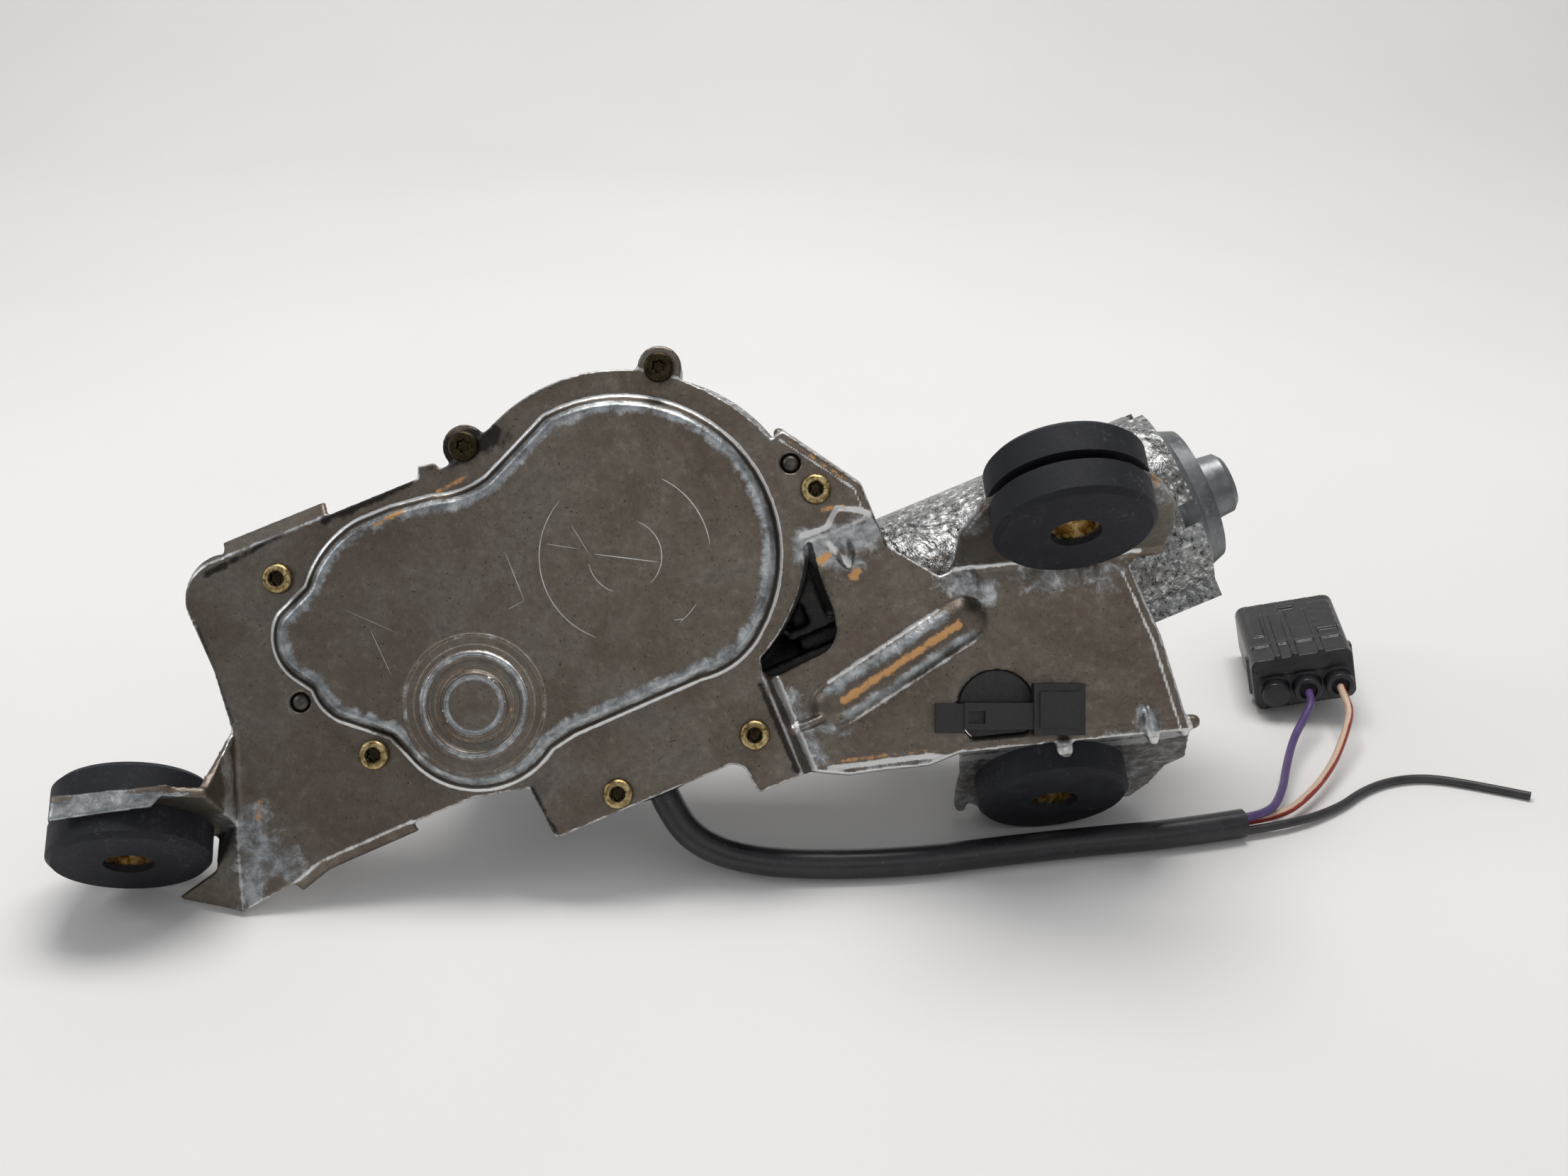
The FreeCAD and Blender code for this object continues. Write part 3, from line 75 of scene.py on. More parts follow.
COVER_OUTLINE = [
    (-49.0, 60.6), (8.3, 60.3), (9.4, 63.4), (13.8, 62.4), (14.5, 60.4), (18.0, 60.4),
    (30.4, 65.3), (56.0, 69.6, 82.3, 57.4), (91.5, 46.5, 97.6, 34.5), (101.2, 35.4),
    (114.8, 14.8), (114.8, 6.0), (95.5, 6.0), (88.8, -5.2, 73.0, -17.4), (72.0, -22.2),
    (71.6, -49.8), (59.3, -49.8), (58.6, -45.6), (57.0, -41.0, 52.9, -40.2), (7.6, -40.4),
    (5.8, -39.9, 5.5, -38.6), (4.2, -25.6), (-3.5, -23.9, -10.1, -22.4), (-26.9, -22.4),
    (-27.3, -21.9), (-53.0, -22.4), (-62.0, -25.0), (-77.0, -27.0), (-69.5, -3.7),
    (-61.8, 18.0), (-60.2, 34.0), (-60.7, 49.2), (-57.9, 57.6, -49.0, 60.6),
]
BRACKET_OUTLINE = [
    (95.5, -3.0), (115.4, -3.0), (118.6, -7.2), (124.9, -15.6), (129.4, -15.4), (176.0, -29.4),
    (172.4, -32.6), (173.0, -53.0), (170.6, -78.4), (111.4, -60.6), (103.5, -60.6),
    (92.3, -57.2), (83.0, -54.8), (75.0, -50.6), (75.0, -23.3), (88.3, -22.6),
    (92.4, -20.8, 94.6, -17.0), (95.5, -12.6), (95.5, -3.0),
]
COVER_SCREWS = [(-35.2, 50.0), (-29.5, -2.0), (25.3, -35.7), (64.1, -35.2), (103.3, 17.9)]
EAR_SCREWS = [(77.7, 62.9), (22.8, 63.3)]
SOCKET_RADIUS = 2.1

# The harness and its plug, in millimetres from the floor point below the output shaft's front.
SLEEVE_RADIUS, WIRE_RADIUS = 4.0, 1.2
PLUG_FOOT = (242.0, 73.9, 4.0)
PLUG_TURN = Matrix.Rotation(math.radians(-4.5), 3, "Z") @ Matrix.Rotation(math.radians(-12.9), 3, "Y")


def world(x, y, z):
    """A point of the unit's own frame, as a place in the scene."""
    return SHAFT_FRONT + TURN @ Vector((x, y, z)) * MM


def on_tab(tab, across, forward, out=0.0):
    """A point of a shelf tab from its centre; out is towards the tab's lower face."""
    return (TAB_CENTRES[tab] + TAB_ACROSS * across + TAB_FORWARD * forward + TAB_NORMAL * out)


def floor(x, y, z):
    """A point of the floor below the output shaft's front, in millimetres, as a place in the scene."""
    return FLOOR_POINT + Vector((x, y, z)) * MM


def on_plug(x, y, z):
    """A point of the plug's own frame, in millimetres, as a place in the scene."""
    return floor(*PLUG_FOOT) + PLUG_TURN @ Vector((x, y, z)) * MM


def local(points):
    """Scene points (an n by 3 array) in the unit's own frame, in millimetres."""
    return (points - np.array(SHAFT_FRONT)) @ TURN_ARRAY / MM


# ---------------------------------------------------------------- camera

def camera():
    data = bpy.data.cameras.new("camera")
    data.lens = 42.31
    data.sensor_width = 36.0
    seen = bpy.data.objects.new("camera", data)
    seen.location = (0.03197, -0.44375, 0.29516)
    seen.rotation_euler = (math.radians(63.0), 0, 0)
    bpy.context.collection.objects.link(seen)
    bpy.context.scene.camera = seen


# ---------------------------------------------------------------- shader building

class Shader:
    """A principled material and short calls for the nodes that drive it."""

    def __init__(self, name, **fixed):
        self.material = bpy.data.materials.new(name)
        self.material.use_nodes = True
        self.tree = self.material.node_tree
        self.surface = self.tree.nodes["Principled BSDF"]
        for key, value in fixed.items():
            self.put(self.surface, key.replace("_", " "), value)

    def put(self, node, key, value):
        socket = node.inputs[key]
        if isinstance(value, bpy.types.NodeSocket):
            self.tree.links.new(value, socket)
        elif isinstance(value, tuple) and len(value) == 3 and socket.type == "RGBA":
            socket.default_value = (*value, 1.0)
        else:
            socket.default_value = value

    def node(self, kind, inputs, **settings):
        made = self.tree.nodes.new("ShaderNode" + kind)
        for key, value in settings.items():
            setattr(made, key, value)
        for key, value in inputs.items():
            self.put(made, key, value)
        return made

    def place(self, stretch=(1, 1, 1), turn=(0, 0, 0)):
        """Places on the object in metres, stretched so that grain can run along one way."""
        at = self.node("TexCoord", {}).outputs["Object"]
        return self.node("Mapping", {"Vector": at, "Rotation": turn, "Scale": stretch}).outputs[0]

    def noise(self, at, scale, detail=4.0, rough=0.55, warp=0.0):
        return self.node("TexNoise", {"Vector": at, "Scale": scale, "Detail": detail,
                                      "Roughness": rough, "Distortion": warp}).outputs["Fac"]

    def cells(self, at, scale, feature="F1"):
        return self.node("TexVoronoi", {"Vector": at, "Scale": scale}, feature=feature)

    def range(self, value, low, high, start=0.0, end=1.0):
        return self.node("MapRange", {"Value": value, "From Min": low, "From Max": high,
                                      "To Min": start, "To Max": end}).outputs[0]

    def math(self, operation, first, second=0.0, third=0.0):
        made = self.tree.nodes.new("ShaderNodeMath")
        made.operation = operation
        for index, value in enumerate((first, second, third)):
            self.put(made, index, value)
        return made.outputs[0]

    def blend(self, amount, first, second, how="MIX"):
        made = self.node("Mix", {}, data_type="RGBA", blend_type=how)
        for index, value in ((0, amount), (6, first), (7, second)):
            socket = made.inputs[index]
            if isinstance(value, bpy.types.NodeSocket):
                self.tree.links.new(value, socket)
            else:
                socket.default_value = (*value, 1.0) if isinstance(value, tuple) else value
        return made.outputs[2]

    def ramp(self, value, *stops):
        made = self.node("ValToRGB", {"Fac": value})
        points = made.color_ramp.elements
        while len(points) < len(stops):
            points.new(0.5)
        for point, (place, colour) in zip(points, stops):
            point.position = place
            point.color = (*colour, 1.0)
        return made.outputs["Color"]

    def attribute(self, name):
        return self.node("Attribute", {}, attribute_name=name).outputs["Fac"]

    def bump(self, height, strength, distance, under=None):
        inputs = {"Height": height, "Strength": strength, "Distance": distance}
        if under is not None:
            inputs["Normal"] = under
        return self.node("Bump", inputs).outputs[0]

    def set(self, **inputs):
        for key, value in inputs.items():
            self.put(self.surface, key.replace("_", " "), value)
        return self.material


def plate_metal():
    """Dark phosphated sheet, browned in clouds, worn through to the zinc where it is bent or sharp; its
    bends, rolled edges and the lobe's bevel also carry painted highlights, and its steps and the window
    slot carry painted shade.

    The attribute lobe is the distance in from the pressed lobe's foot; the other attributes are amounts: of
    wear with painted highlight, of grey zinc with painted highlight, of copper, and of dirt with painted
    shade.
    """
    s = Shader("plate_metal")
    at = s.place()
    cloud = s.noise(at, 42.0, 6.0, 0.62, 0.6)
    fine = s.noise(at, 420.0, 6.0, 0.72)
    speck = s.noise(at, 1400.0, 3.0, 0.6)
    tone = s.ramp(cloud, (0.30, (0.125, 0.102, 0.082)), (0.47, (0.170, 0.143, 0.118)),
                  (0.60, (0.205, 0.180, 0.152)), (0.74, (0.145, 0.136, 0.126)))
    tone = s.blend(s.range(fine, 0.40, 0.70, 0.0, 0.5), tone, (0.105, 0.080, 0.060))
    tone = s.blend(s.range(fine, 0.44, 0.30, 0.0, 0.35), tone, (0.30, 0.26, 0.21))
    tone = s.blend(s.range(speck, 0.62, 0.72, 0.0, 0.85), tone, (0.030, 0.024, 0.020))
    patches = s.noise(at, 230.0, 6.0, 0.72, 0.4)
    lobe = s.attribute("lobe")
    # the lobe's bevel is painted grey in clouds: worn zinc mixed with a painted highlight along the bevel
    crown = s.math("MULTIPLY", s.range(lobe, 1.0, 2.0), s.range(lobe, 6.2, 3.4))
    grey = s.math("MAXIMUM", s.math("MULTIPLY", crown, s.range(cloud, 0.30, 0.56, 0.45, 0.95)),
                  s.attribute("grey"))
    grey_mask = s.range(s.math("ADD", grey, s.math("MULTIPLY_ADD", patches, 1.5, -0.75)), 0.28, 0.62)
    zinc = s.ramp(patches, (0.34, (0.15, 0.16, 0.165)), (0.52, (0.34, 0.36, 0.37)),
                  (0.70, (0.60, 0.62, 0.62)))
    tone = s.blend(grey_mask, tone, zinc)
    copper = s.range(s.math("ADD", s.attribute("copper"), s.math("MULTIPLY_ADD", fine, 1.6, -0.8)),
                     0.35, 0.60)
    tone = s.blend(copper, tone, (0.66, 0.36, 0.15))
    # painted highlight: a bright rim along the lobe's foot, added to the wear and painted highlights of the
    # edges and folds
    foot = s.math("MULTIPLY", s.range(lobe, -0.75, -0.25), s.range(lobe, 0.55, 0.15))
    rubbed_and_highlit = s.math("MAXIMUM", s.attribute("rubbed_and_highlit"), s.math("MULTIPLY", foot, 0.9))
    bright = s.range(s.math("ADD", rubbed_and_highlit, s.math("MULTIPLY_ADD", patches, 1.2, -0.6)), 0.38, 0.66)
    tone = s.blend(bright, tone, (0.70, 0.70, 0.69))
    # painted shade: a dark line just inside the lobe's edge, where its rolled bead meets the crown
    groove_shade = s.math("MULTIPLY", s.range(lobe, 0.45, 0.8), s.range(lobe, 1.7, 1.1))
    tone = s.blend(s.math("MULTIPLY", groove_shade, 0.85), tone, (0.03, 0.028, 0.026))
    # dirt, and painted shade in the cover's steps and in the window slot
    grime_and_shade = s.range(s.math("ADD", s.attribute("grime_and_shade"), s.math("MULTIPLY_ADD", patches, 1.4, -0.7)),
                    0.25, 0.55)
    tone = s.blend(s.math("MULTIPLY", grime_and_shade, 0.9), tone, (0.018, 0.015, 0.013))
    # wear and painted highlight both make the sheet a little smoother
    worn_and_highlit = s.math("MAXIMUM", bright, grey_mask)
    rough = s.math("ADD", s.range(fine, 0.2, 0.8, 0.30, 0.46), s.math("MULTIPLY", worn_and_highlit, -0.07))
    lift = s.bump(s.noise(at, 900.0, 6.0, 0.65), 0.34, 0.0003)
    lift = s.bump(cloud, 0.35, 0.0008, lift)
    lift = s.bump(grey_mask, 0.25, 0.0001, lift)
    return s.set(Base_Color=tone, Metallic=0.88, Roughness=rough, Normal=lift)


def cast_metal():
    """Die-cast aluminium, darkened by oil and by painted shade where its darkening attribute says so."""
    s = Shader("cast_metal", Metallic=0.9)
    at = s.place()
    grain = s.noise(at, 700.0, 6.0, 0.7)
    patch = s.noise(at, 55.0, 5.0, 0.6, 0.4)
    tone = s.ramp(patch, (0.32, (0.22, 0.22, 0.22)), (0.52, (0.38, 0.38, 0.39)),
                  (0.70, (0.50, 0.50, 0.50)))
    tone = s.blend(s.range(grain, 0.30, 0.46, 0.6, 0.0), tone, (0.07, 0.065, 0.06))
    spark = s.range(s.noise(at, 1100.0, 4.0, 0.6), 0.58, 0.66, 0.0, 0.7)
    tone = s.blend(spark, tone, (0.80, 0.80, 0.79))
    # oil, and painted shade in the window slot
    oil_and_shade = s.range(s.math("ADD", s.attribute("grime_and_shade"), s.math("MULTIPLY_ADD", patch, 0.8, -0.4)),
                  0.3, 0.55)
    tone = s.blend(s.math("MULTIPLY", oil_and_shade, 0.93), tone, (0.016, 0.014, 0.012))
    return s.set(Base_Color=tone, Roughness=s.range(grain, 0.3, 0.7, 0.36, 0.60),
                 Normal=s.bump(grain, 0.6, 0.0004))


def galvanised():
    """Zinc skin gone grey and brown, peppered with pale flecks and dark pits, crumpled in patches."""
    s = Shader("galvanised", Metallic=0.9)
    at = s.place()
    cloud = s.noise(at, 45.0, 6.0, 0.65, 1.0)
    fleck = s.noise(at, 620.0, 5.0, 0.68)
    tone = s.ramp(cloud, (0.30, (0.13, 0.125, 0.115)), (0.48, (0.24, 0.245, 0.24)),
                  (0.66, (0.38, 0.39, 0.39)))
    tone = s.blend(s.range(fleck, 0.54, 0.62), tone, (0.74, 0.75, 0.75))
    tone = s.blend(s.range(fleck, 0.45, 0.37), tone, (0.055, 0.05, 0.045))
    rust = s.range(s.noise(at, 75.0, 5.0, 0.6), 0.60, 0.70, 0.0, 0.5)
    tone = s.blend(rust, tone, (0.11, 0.075, 0.05))
    crumple = s.cells(s.place((1, 1, 1), (0.3, 0.2, 0.7)), 260.0, "SMOOTH_F1").outputs["Distance"]
    lift = s.bump(s.math("MULTIPLY", crumple, s.range(cloud, 0.45, 0.62)), 0.9, 0.0022)
    lift = s.bump(fleck, 0.5, 0.0004, lift)
    return s.set(Base_Color=tone, Roughness=s.range(fleck, 0.3, 0.7, 0.22, 0.48), Normal=lift)


def dull_zinc():
    s = Shader("dull_zinc", Metallic=0.8)
    at = s.place()
    cloud = s.noise(at, 70.0, 5.0, 0.6, 0.5)
    fine = s.noise(at, 600.0, 4.0, 0.6)
    tone = s.ramp(cloud, (0.35, (0.12, 0.13, 0.135)), (0.62, (0.23, 0.245, 0.25)))
    stain = s.range(s.noise(at, 40.0, 4.0, 0.6, 1.2), 0.58, 0.68, 0.0, 0.6)
    tone = s.blend(stain, tone, (0.10, 0.08, 0.06))
    tone = s.blend(s.range(fine, 0.58, 0.72, 0.0, 0.5), tone, (0.45, 0.46, 0.47))
    return s.set(Base_Color=tone, Roughness=s.range(fine, 0.3, 0.7, 0.34, 0.50),
                 Normal=s.bump(fine, 0.2, 0.0003))


def plain_metal(name, dark, light, low=0.22, high=0.38, scale=260.0):
    s = Shader(name, Metallic=1.0)
    at = s.place()
    cloud = s.noise(at, scale, 5.0, 0.62, 0.4)
    scratch = s.noise(s.place((1, 1, 12), (0.4, 0.5, 0)), 600.0, 3.0, 0.6)
    tone = s.blend(s.range(cloud, 0.32, 0.66), dark, light)
    return s.set(Base_Color=tone, Roughness=s.range(scratch, 0.3, 0.7, low, high),
                 Normal=s.bump(scratch, 0.10, 0.0002))


def rubber(name="black_rubber", dust=0.5):
    """Matt rubber with chalky scuffs and a faint moulded grain."""
    s = Shader(name, Specular_IOR_Level=0.32)
    at = s.place()
    cloud = s.noise(at, 90.0, 6.0, 0.65, 0.8)
    grain = s.noise(at, 900.0, 5.0, 0.7)
    tone = s.ramp(cloud, (0.35, (0.007, 0.008, 0.012)), (0.60, (0.013, 0.014, 0.020)),
                  (0.78, (0.026, 0.027, 0.034)))
    scuff = s.math("MULTIPLY", s.range(cloud, 0.50, 0.70), s.range(grain, 0.50, 0.64, 0.0, dust))
    tone = s.blend(scuff, tone, (0.12, 0.12, 0.125))
    nick = s.noise(s.place((1, 1, 5), (0.2, 0.4, 0)), 240.0, 6.0, 0.75)
    tone = s.blend(s.range(nick, 0.66, 0.70, 0.0, 0.5 * dust), tone, (0.16, 0.155, 0.15))
    return s.set(Base_Color=tone, Roughness=s.range(cloud, 0.3, 0.7, 0.52, 0.78),
                 Normal=s.bump(grain, 0.35, 0.0003))


def plastic(name, dark, light, low=0.32, high=0.5, level=0.5, scale=800.0, push=0.2):
    s = Shader(name, Specular_IOR_Level=level)
    at = s.place()
    cloud = s.noise(at, 120.0, 5.0, 0.6)
    grain = s.noise(at, scale, 4.0, 0.6)
    tone = s.blend(s.range(cloud, 0.3, 0.7), dark, light)
    return s.set(Base_Color=tone, Roughness=s.range(grain, 0.3, 0.7, low, high),
                 Normal=s.bump(grain, push, 0.0002))


def screw_metal():
    """Yellow passivated zinc, darkened by dirt and by painted shade where its darkening attribute says so.
    """
    s = Shader("screw_metal", Metallic=1.0)
    at = s.place()
    cloud = s.noise(at, 520.0, 5.0, 0.68, 0.6)
    tone = s.ramp(cloud, (0.34, (0.10, 0.065, 0.03)), (0.48, (0.34, 0.25, 0.11)),
                  (0.60, (0.62, 0.50, 0.26)), (0.76, (0.30, 0.19, 0.09)))
    # dirt, and painted shade in the sockets
    dirt_and_shade = s.range(s.math("ADD", s.attribute("grime_and_shade"), s.math("MULTIPLY_ADD", cloud, 0.9, -0.45)),
                   0.35, 0.6)
    tone = s.blend(s.math("MULTIPLY", dirt_and_shade, 0.94), tone, (0.014, 0.010, 0.007))
    return s.set(Base_Color=tone, Roughness=s.range(cloud, 0.3, 0.7, 0.24, 0.46),
                 Normal=s.bump(cloud, 0.3, 0.0003))


def yellow_zinc():
    s = Shader("yellow_zinc", Metallic=1.0)
    at = s.place()
    cloud = s.noise(at, 420.0, 5.0, 0.65, 0.6)
    tone = s.ramp(cloud, (0.32, (0.16, 0.10, 0.04)), (0.48, (0.50, 0.36, 0.14)),
                  (0.62, (0.78, 0.68, 0.42)), (0.78, (0.50, 0.36, 0.18)))
    return s.set(Base_Color=tone, Roughness=s.range(cloud, 0.3, 0.7, 0.22, 0.44),
                 Normal=s.bump(cloud, 0.25, 0.0003))


def wire_cover(name, dark, light, stripe=None):
    """Glossy insulation; the stripe runs along one side of the wire."""
    s = Shader(name, Specular_IOR_Level=0.5)
    at = s.place()
    cloud = s.noise(at, 130.0, 5.0, 0.6)
    tone = s.blend(s.range(cloud, 0.3, 0.7), dark, light)
    if stripe:
        facing = s.node("VectorMath", {0: s.node("NewGeometry", {}).outputs["Normal"],
                                       1: (-0.80, -0.10, 0.35)}, operation="DOT_PRODUCT").outputs["Value"]
        edge = s.math("ADD", facing, s.range(cloud, 0.3, 0.7, -0.12, 0.12))
        tone = s.blend(s.range(edge, 0.02, 0.14), tone, stripe)
    return s.set(Base_Color=tone, Roughness=s.range(cloud, 0.3, 0.7, 0.30, 0.45),
                 Normal=s.bump(s.noise(at, 700.0, 3.0, 0.5), 0.12, 0.0002))


def sleeve_vinyl():
    """Soft black vinyl, shiny, with long faint creases and a little dust."""
    s = Shader("sleeve_vinyl", Specular_IOR_Level=0.5)
    at = s.place()
    cloud = s.noise(at, 80.0, 5.0, 0.6)
    tone = s.blend(s.range(cloud, 0.35, 0.7), (0.010, 0.010, 0.012), (0.026, 0.026, 0.029))
    dust = s.range(s.noise(at, 900.0, 5.0, 0.7), 0.60, 0.70, 0.0, 0.4)
    tone = s.blend(dust, tone, (0.12, 0.12, 0.12))
    return s.set(Base_Color=tone, Roughness=s.range(cloud, 0.3, 0.7, 0.24, 0.42),
                 Normal=s.bump(cloud, 0.25, 0.0008))


# ---------------------------------------------------------------- floor and light

def stage():
    s = Shader("floor_paint", Specular_IOR_Level=0.25)
    at = s.place()
    tone = s.blend(s.range(s.noise(at, 3.0, 3.0, 0.5), 0.3, 0.7), (0.80, 0.79, 0.775),
                   (0.84, 0.835, 0.825))
    paint = s.set(Base_Color=tone, Roughness=0.55)
    # one sheet: floor, a wide curve and the wall behind
    profile = [(-1.6, 0.0), (0.75, 0.0)]
    profile += [(0.75 + 0.5 * math.sin(a), 0.5 - 0.5 * math.cos(a))
                for a in np.linspace(0.1, math.pi / 2, 14)]
    profile.append((1.25, 2.6))
    mesh = bpy.data.meshes.new("floor")
    points = [(x, y, z) for y, z in profile for x in (-2.6, 2.6)]
    faces = [(2 * i, 2 * i + 1, 2 * i + 3, 2 * i + 2) for i in range(len(profile) - 1)]
    mesh.from_pydata(points, [], faces)
    mesh.shade_smooth()
    mesh.materials.append(paint)
    floor = bpy.data.objects.new("floor", mesh)
    bpy.context.collection.objects.link(floor)


def area_light(name, spot, aim, size, power, colour=(1, 1, 1)):
    data = bpy.data.lights.new(name, "AREA")
    data.shape = "RECTANGLE"
    data.size, data.size_y = size
    data.energy = power
    data.color = colour
    lamp = bpy.data.objects.new(name, data)
    lamp.location = spot
    lamp.rotation_euler = (Vector(aim) - Vector(spot)).to_track_quat("-Z", "Y").to_euler()
    bpy.context.collection.objects.link(lamp)


def lights():
    area_light("overhead", (0.05, 0.35, 1.25), (0, 0.05, 0), (0.9, 0.5), 11.5, (1.0, 0.985, 0.96))
    area_light("left_side", (-1.2, -0.2, 0.9), (0, 0, 0.05), (0.5, 0.5), 2.6, (0.93, 0.96, 1.0))
    area_light("front_fill", (0.5, -1.5, 1.1), (0, 0, 0.05), (1.6, 1.0), 2.7, (1.0, 0.98, 0.95))
    world_light = bpy.data.worlds.new("world")
    world_light.use_nodes = True
    sky = world_light.node_tree.nodes["Background"]
    sky.inputs["Color"].default_value = (0.95, 0.96, 1.0, 1.0)
    sky.inputs["Strength"].default_value = 0.36
    bpy.context.scene.world = world_light
    view = bpy.context.scene.view_settings
    view.view_transform = "Standard"
    view.look = "None"


# ---------------------------------------------------------------- the harness

def cord(node, route, radius, material):
    """A free cord that follows the route as one smooth spline, in place of its CAD node."""
    curve = bpy.data.curves.new(node + "_cord", "CURVE")
    curve.dimensions = "3D"
    curve.bevel_depth = radius * MM
    curve.bevel_resolution = 8
    curve.use_fill_caps = True
    curve.resolution_u = 24
    spline = curve.splines.new("NURBS")
    spline.points.add(len(route) - 1)
    for point, place in zip(spline.points, route):
        point.co = (*place, 1.0)
    spline.order_u = 3
    spline.use_endpoint_u = True
    curve.materials.append(material)
    piece = bpy.data.objects.new(node + "_cord", curve)
    bpy.context.collection.objects.link(piece)
    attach(piece, BODY_OF[node])
    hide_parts(node)


# ---------------------------------------------------------------- finer copies of CAD nodes

def path_points(steps):
    """Points along a list of corners; a step of four numbers is an arc through its first two."""
    points = [np.array(steps[0], float)]
    for step in steps[1:]:
        if len(step) == 2:
            points.append(np.array(step, float))
            continue
        start, middle, end = points[-1], np.array(step[:2], float), np.array(step[2:], float)
        a, b = middle - start, end - start
        cross = 2 * (a[0] * b[1] - a[1] * b[0])
        centre = start + np.array([b[1] * a.dot(a) - a[1] * b.dot(b),
                                   a[0] * b.dot(b) - b[0] * a.dot(a)]) / cross
        angles = [math.atan2(*(p - centre)[::-1]) for p in (start, middle, end)]
        while (angles[1] - angles[0]) * (1 if cross > 0 else -1) < 0:
            angles[1] += math.tau if cross > 0 else -math.tau
        while (angles[2] - angles[1]) * (1 if cross > 0 else -1) < 0:
            angles[2] += math.tau if cross > 0 else -math.tau
        radius = np.linalg.norm(start - centre)
        for share in np.linspace(0, 1, 25)[1:]:
            angle = angles[0] + (angles[2] - angles[0]) * share
            points.append(centre + radius * np.array([math.cos(angle), math.sin(angle)]))
    return np.array(points)


def distance_to(path, flat):
    """Distance in millimetres from each point of the plate's plane to a path."""
    best = np.full(len(flat), 1e9)
    for start, end in zip(path[:-1], path[1:]):
        run = end - start
        share = np.clip(((flat - start) @ run) / max(run.dot(run), 1e-9), 0, 1)
        best = np.minimum(best, np.linalg.norm(flat - start - share[:, None] * run, axis=1))
    return best


def inside(path, flat):
    hit = np.zeros(len(flat), bool)
    for (x0, z0), (x1, z1) in zip(path, np.roll(path, -1, axis=0)):
        if z0 != z1:
            crosses = (flat[:, 1] > z0) != (flat[:, 1] > z1)
            hit ^= crosses & (flat[:, 0] < x0 + (flat[:, 1] - z0) * (x1 - x0) / (z1 - z0))
    return hit


def solid_rod(shape, points, radius):
    """A round bar through places given in the unit's own frame."""
    for start, end in zip(points[:-1], points[1:]):
        start, end = world(*start), world(*end)
        run = end - start
        place = Matrix.Translation((start + end) / 2) @ run.to_track_quat("Z", "Y").to_matrix().to_4x4()
        bmesh.ops.create_cone(shape, cap_ends=True, segments=16, radius1=radius * MM,
                              radius2=radius * MM, depth=run.length, matrix=place)
    for point in points:
        bmesh.ops.create_icosphere(shape, subdivisions=2, radius=radius * MM,
                                   matrix=Matrix.Translation(world(*point)))


def solid_ball(shape, centre, along, radii):
    """An ellipsoid: its long axis lies in the plate's plane, in the direction along (x, z)."""
    run = Vector((along[0], 0, along[1])).normalized()
    side = Vector((-run.z, 0, run.x))
    turn = Matrix((run, side, Vector((0, -1, 0)))).transposed()
    place = Matrix.Translation(world(*centre)) @ (TURN @ turn).to_4x4()
    scale = Matrix.Diagonal((*(r * MM for r in radii), 1))
    bmesh.ops.create_icosphere(shape, subdivisions=3, radius=1.0, matrix=place @ scale)


def link(name, mesh, material=None):
    piece = bpy.data.objects.new(name, mesh)
    bpy.context.collection.objects.link(piece)
    if material is not None:
        mesh.materials.clear()
        mesh.materials.append(material)
    return piece


def applied(piece):
    """The piece's mesh with its modifiers worked in."""
    bpy.context.view_layer.update()
    seen = piece.evaluated_get(bpy.context.evaluated_depsgraph_get())
    mesh = bpy.data.meshes.new_from_object(seen)
    piece.modifiers.clear()
    piece.data = mesh
    return mesh


def skin(node, material, voxel, ease=3, more=None):
    """A finer copy of a CAD node: more solids are melted in, and its edges are eased."""
    shape = bmesh.new()
    shape.from_mesh(NODES[node].data)
    if more:
        more(shape)
    mesh = bpy.data.meshes.new(node + "_skin")
    shape.to_mesh(mesh)
    shape.free()
    piece = link(node + "_skin", mesh)
    remesh = piece.modifiers.new("remesh", "REMESH")
    remesh.mode = "VOXEL"
    remesh.voxel_size = voxel * MM
    soften = piece.modifiers.new("soften", "SMOOTH")
    soften.factor = 0.5
    soften.iterations = ease
    mesh = applied(piece)
    mesh.materials.clear()
    mesh.materials.append(material)
    mesh.shade_smooth()
    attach(piece, BODY_OF[node])
    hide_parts(node)
    return piece


def vertex_places(mesh):
    flat = np.zeros(len(mesh.vertices) * 3, np.float32)
    mesh.vertices.foreach_get("co", flat)
    return flat.reshape(-1, 3).astype(float)


def write(mesh, name, values):
    mesh.attributes.new(name, "FLOAT", "POINT").data.foreach_set("value", values.astype(np.float32))


# ---------------------------------------------------------------- the plate

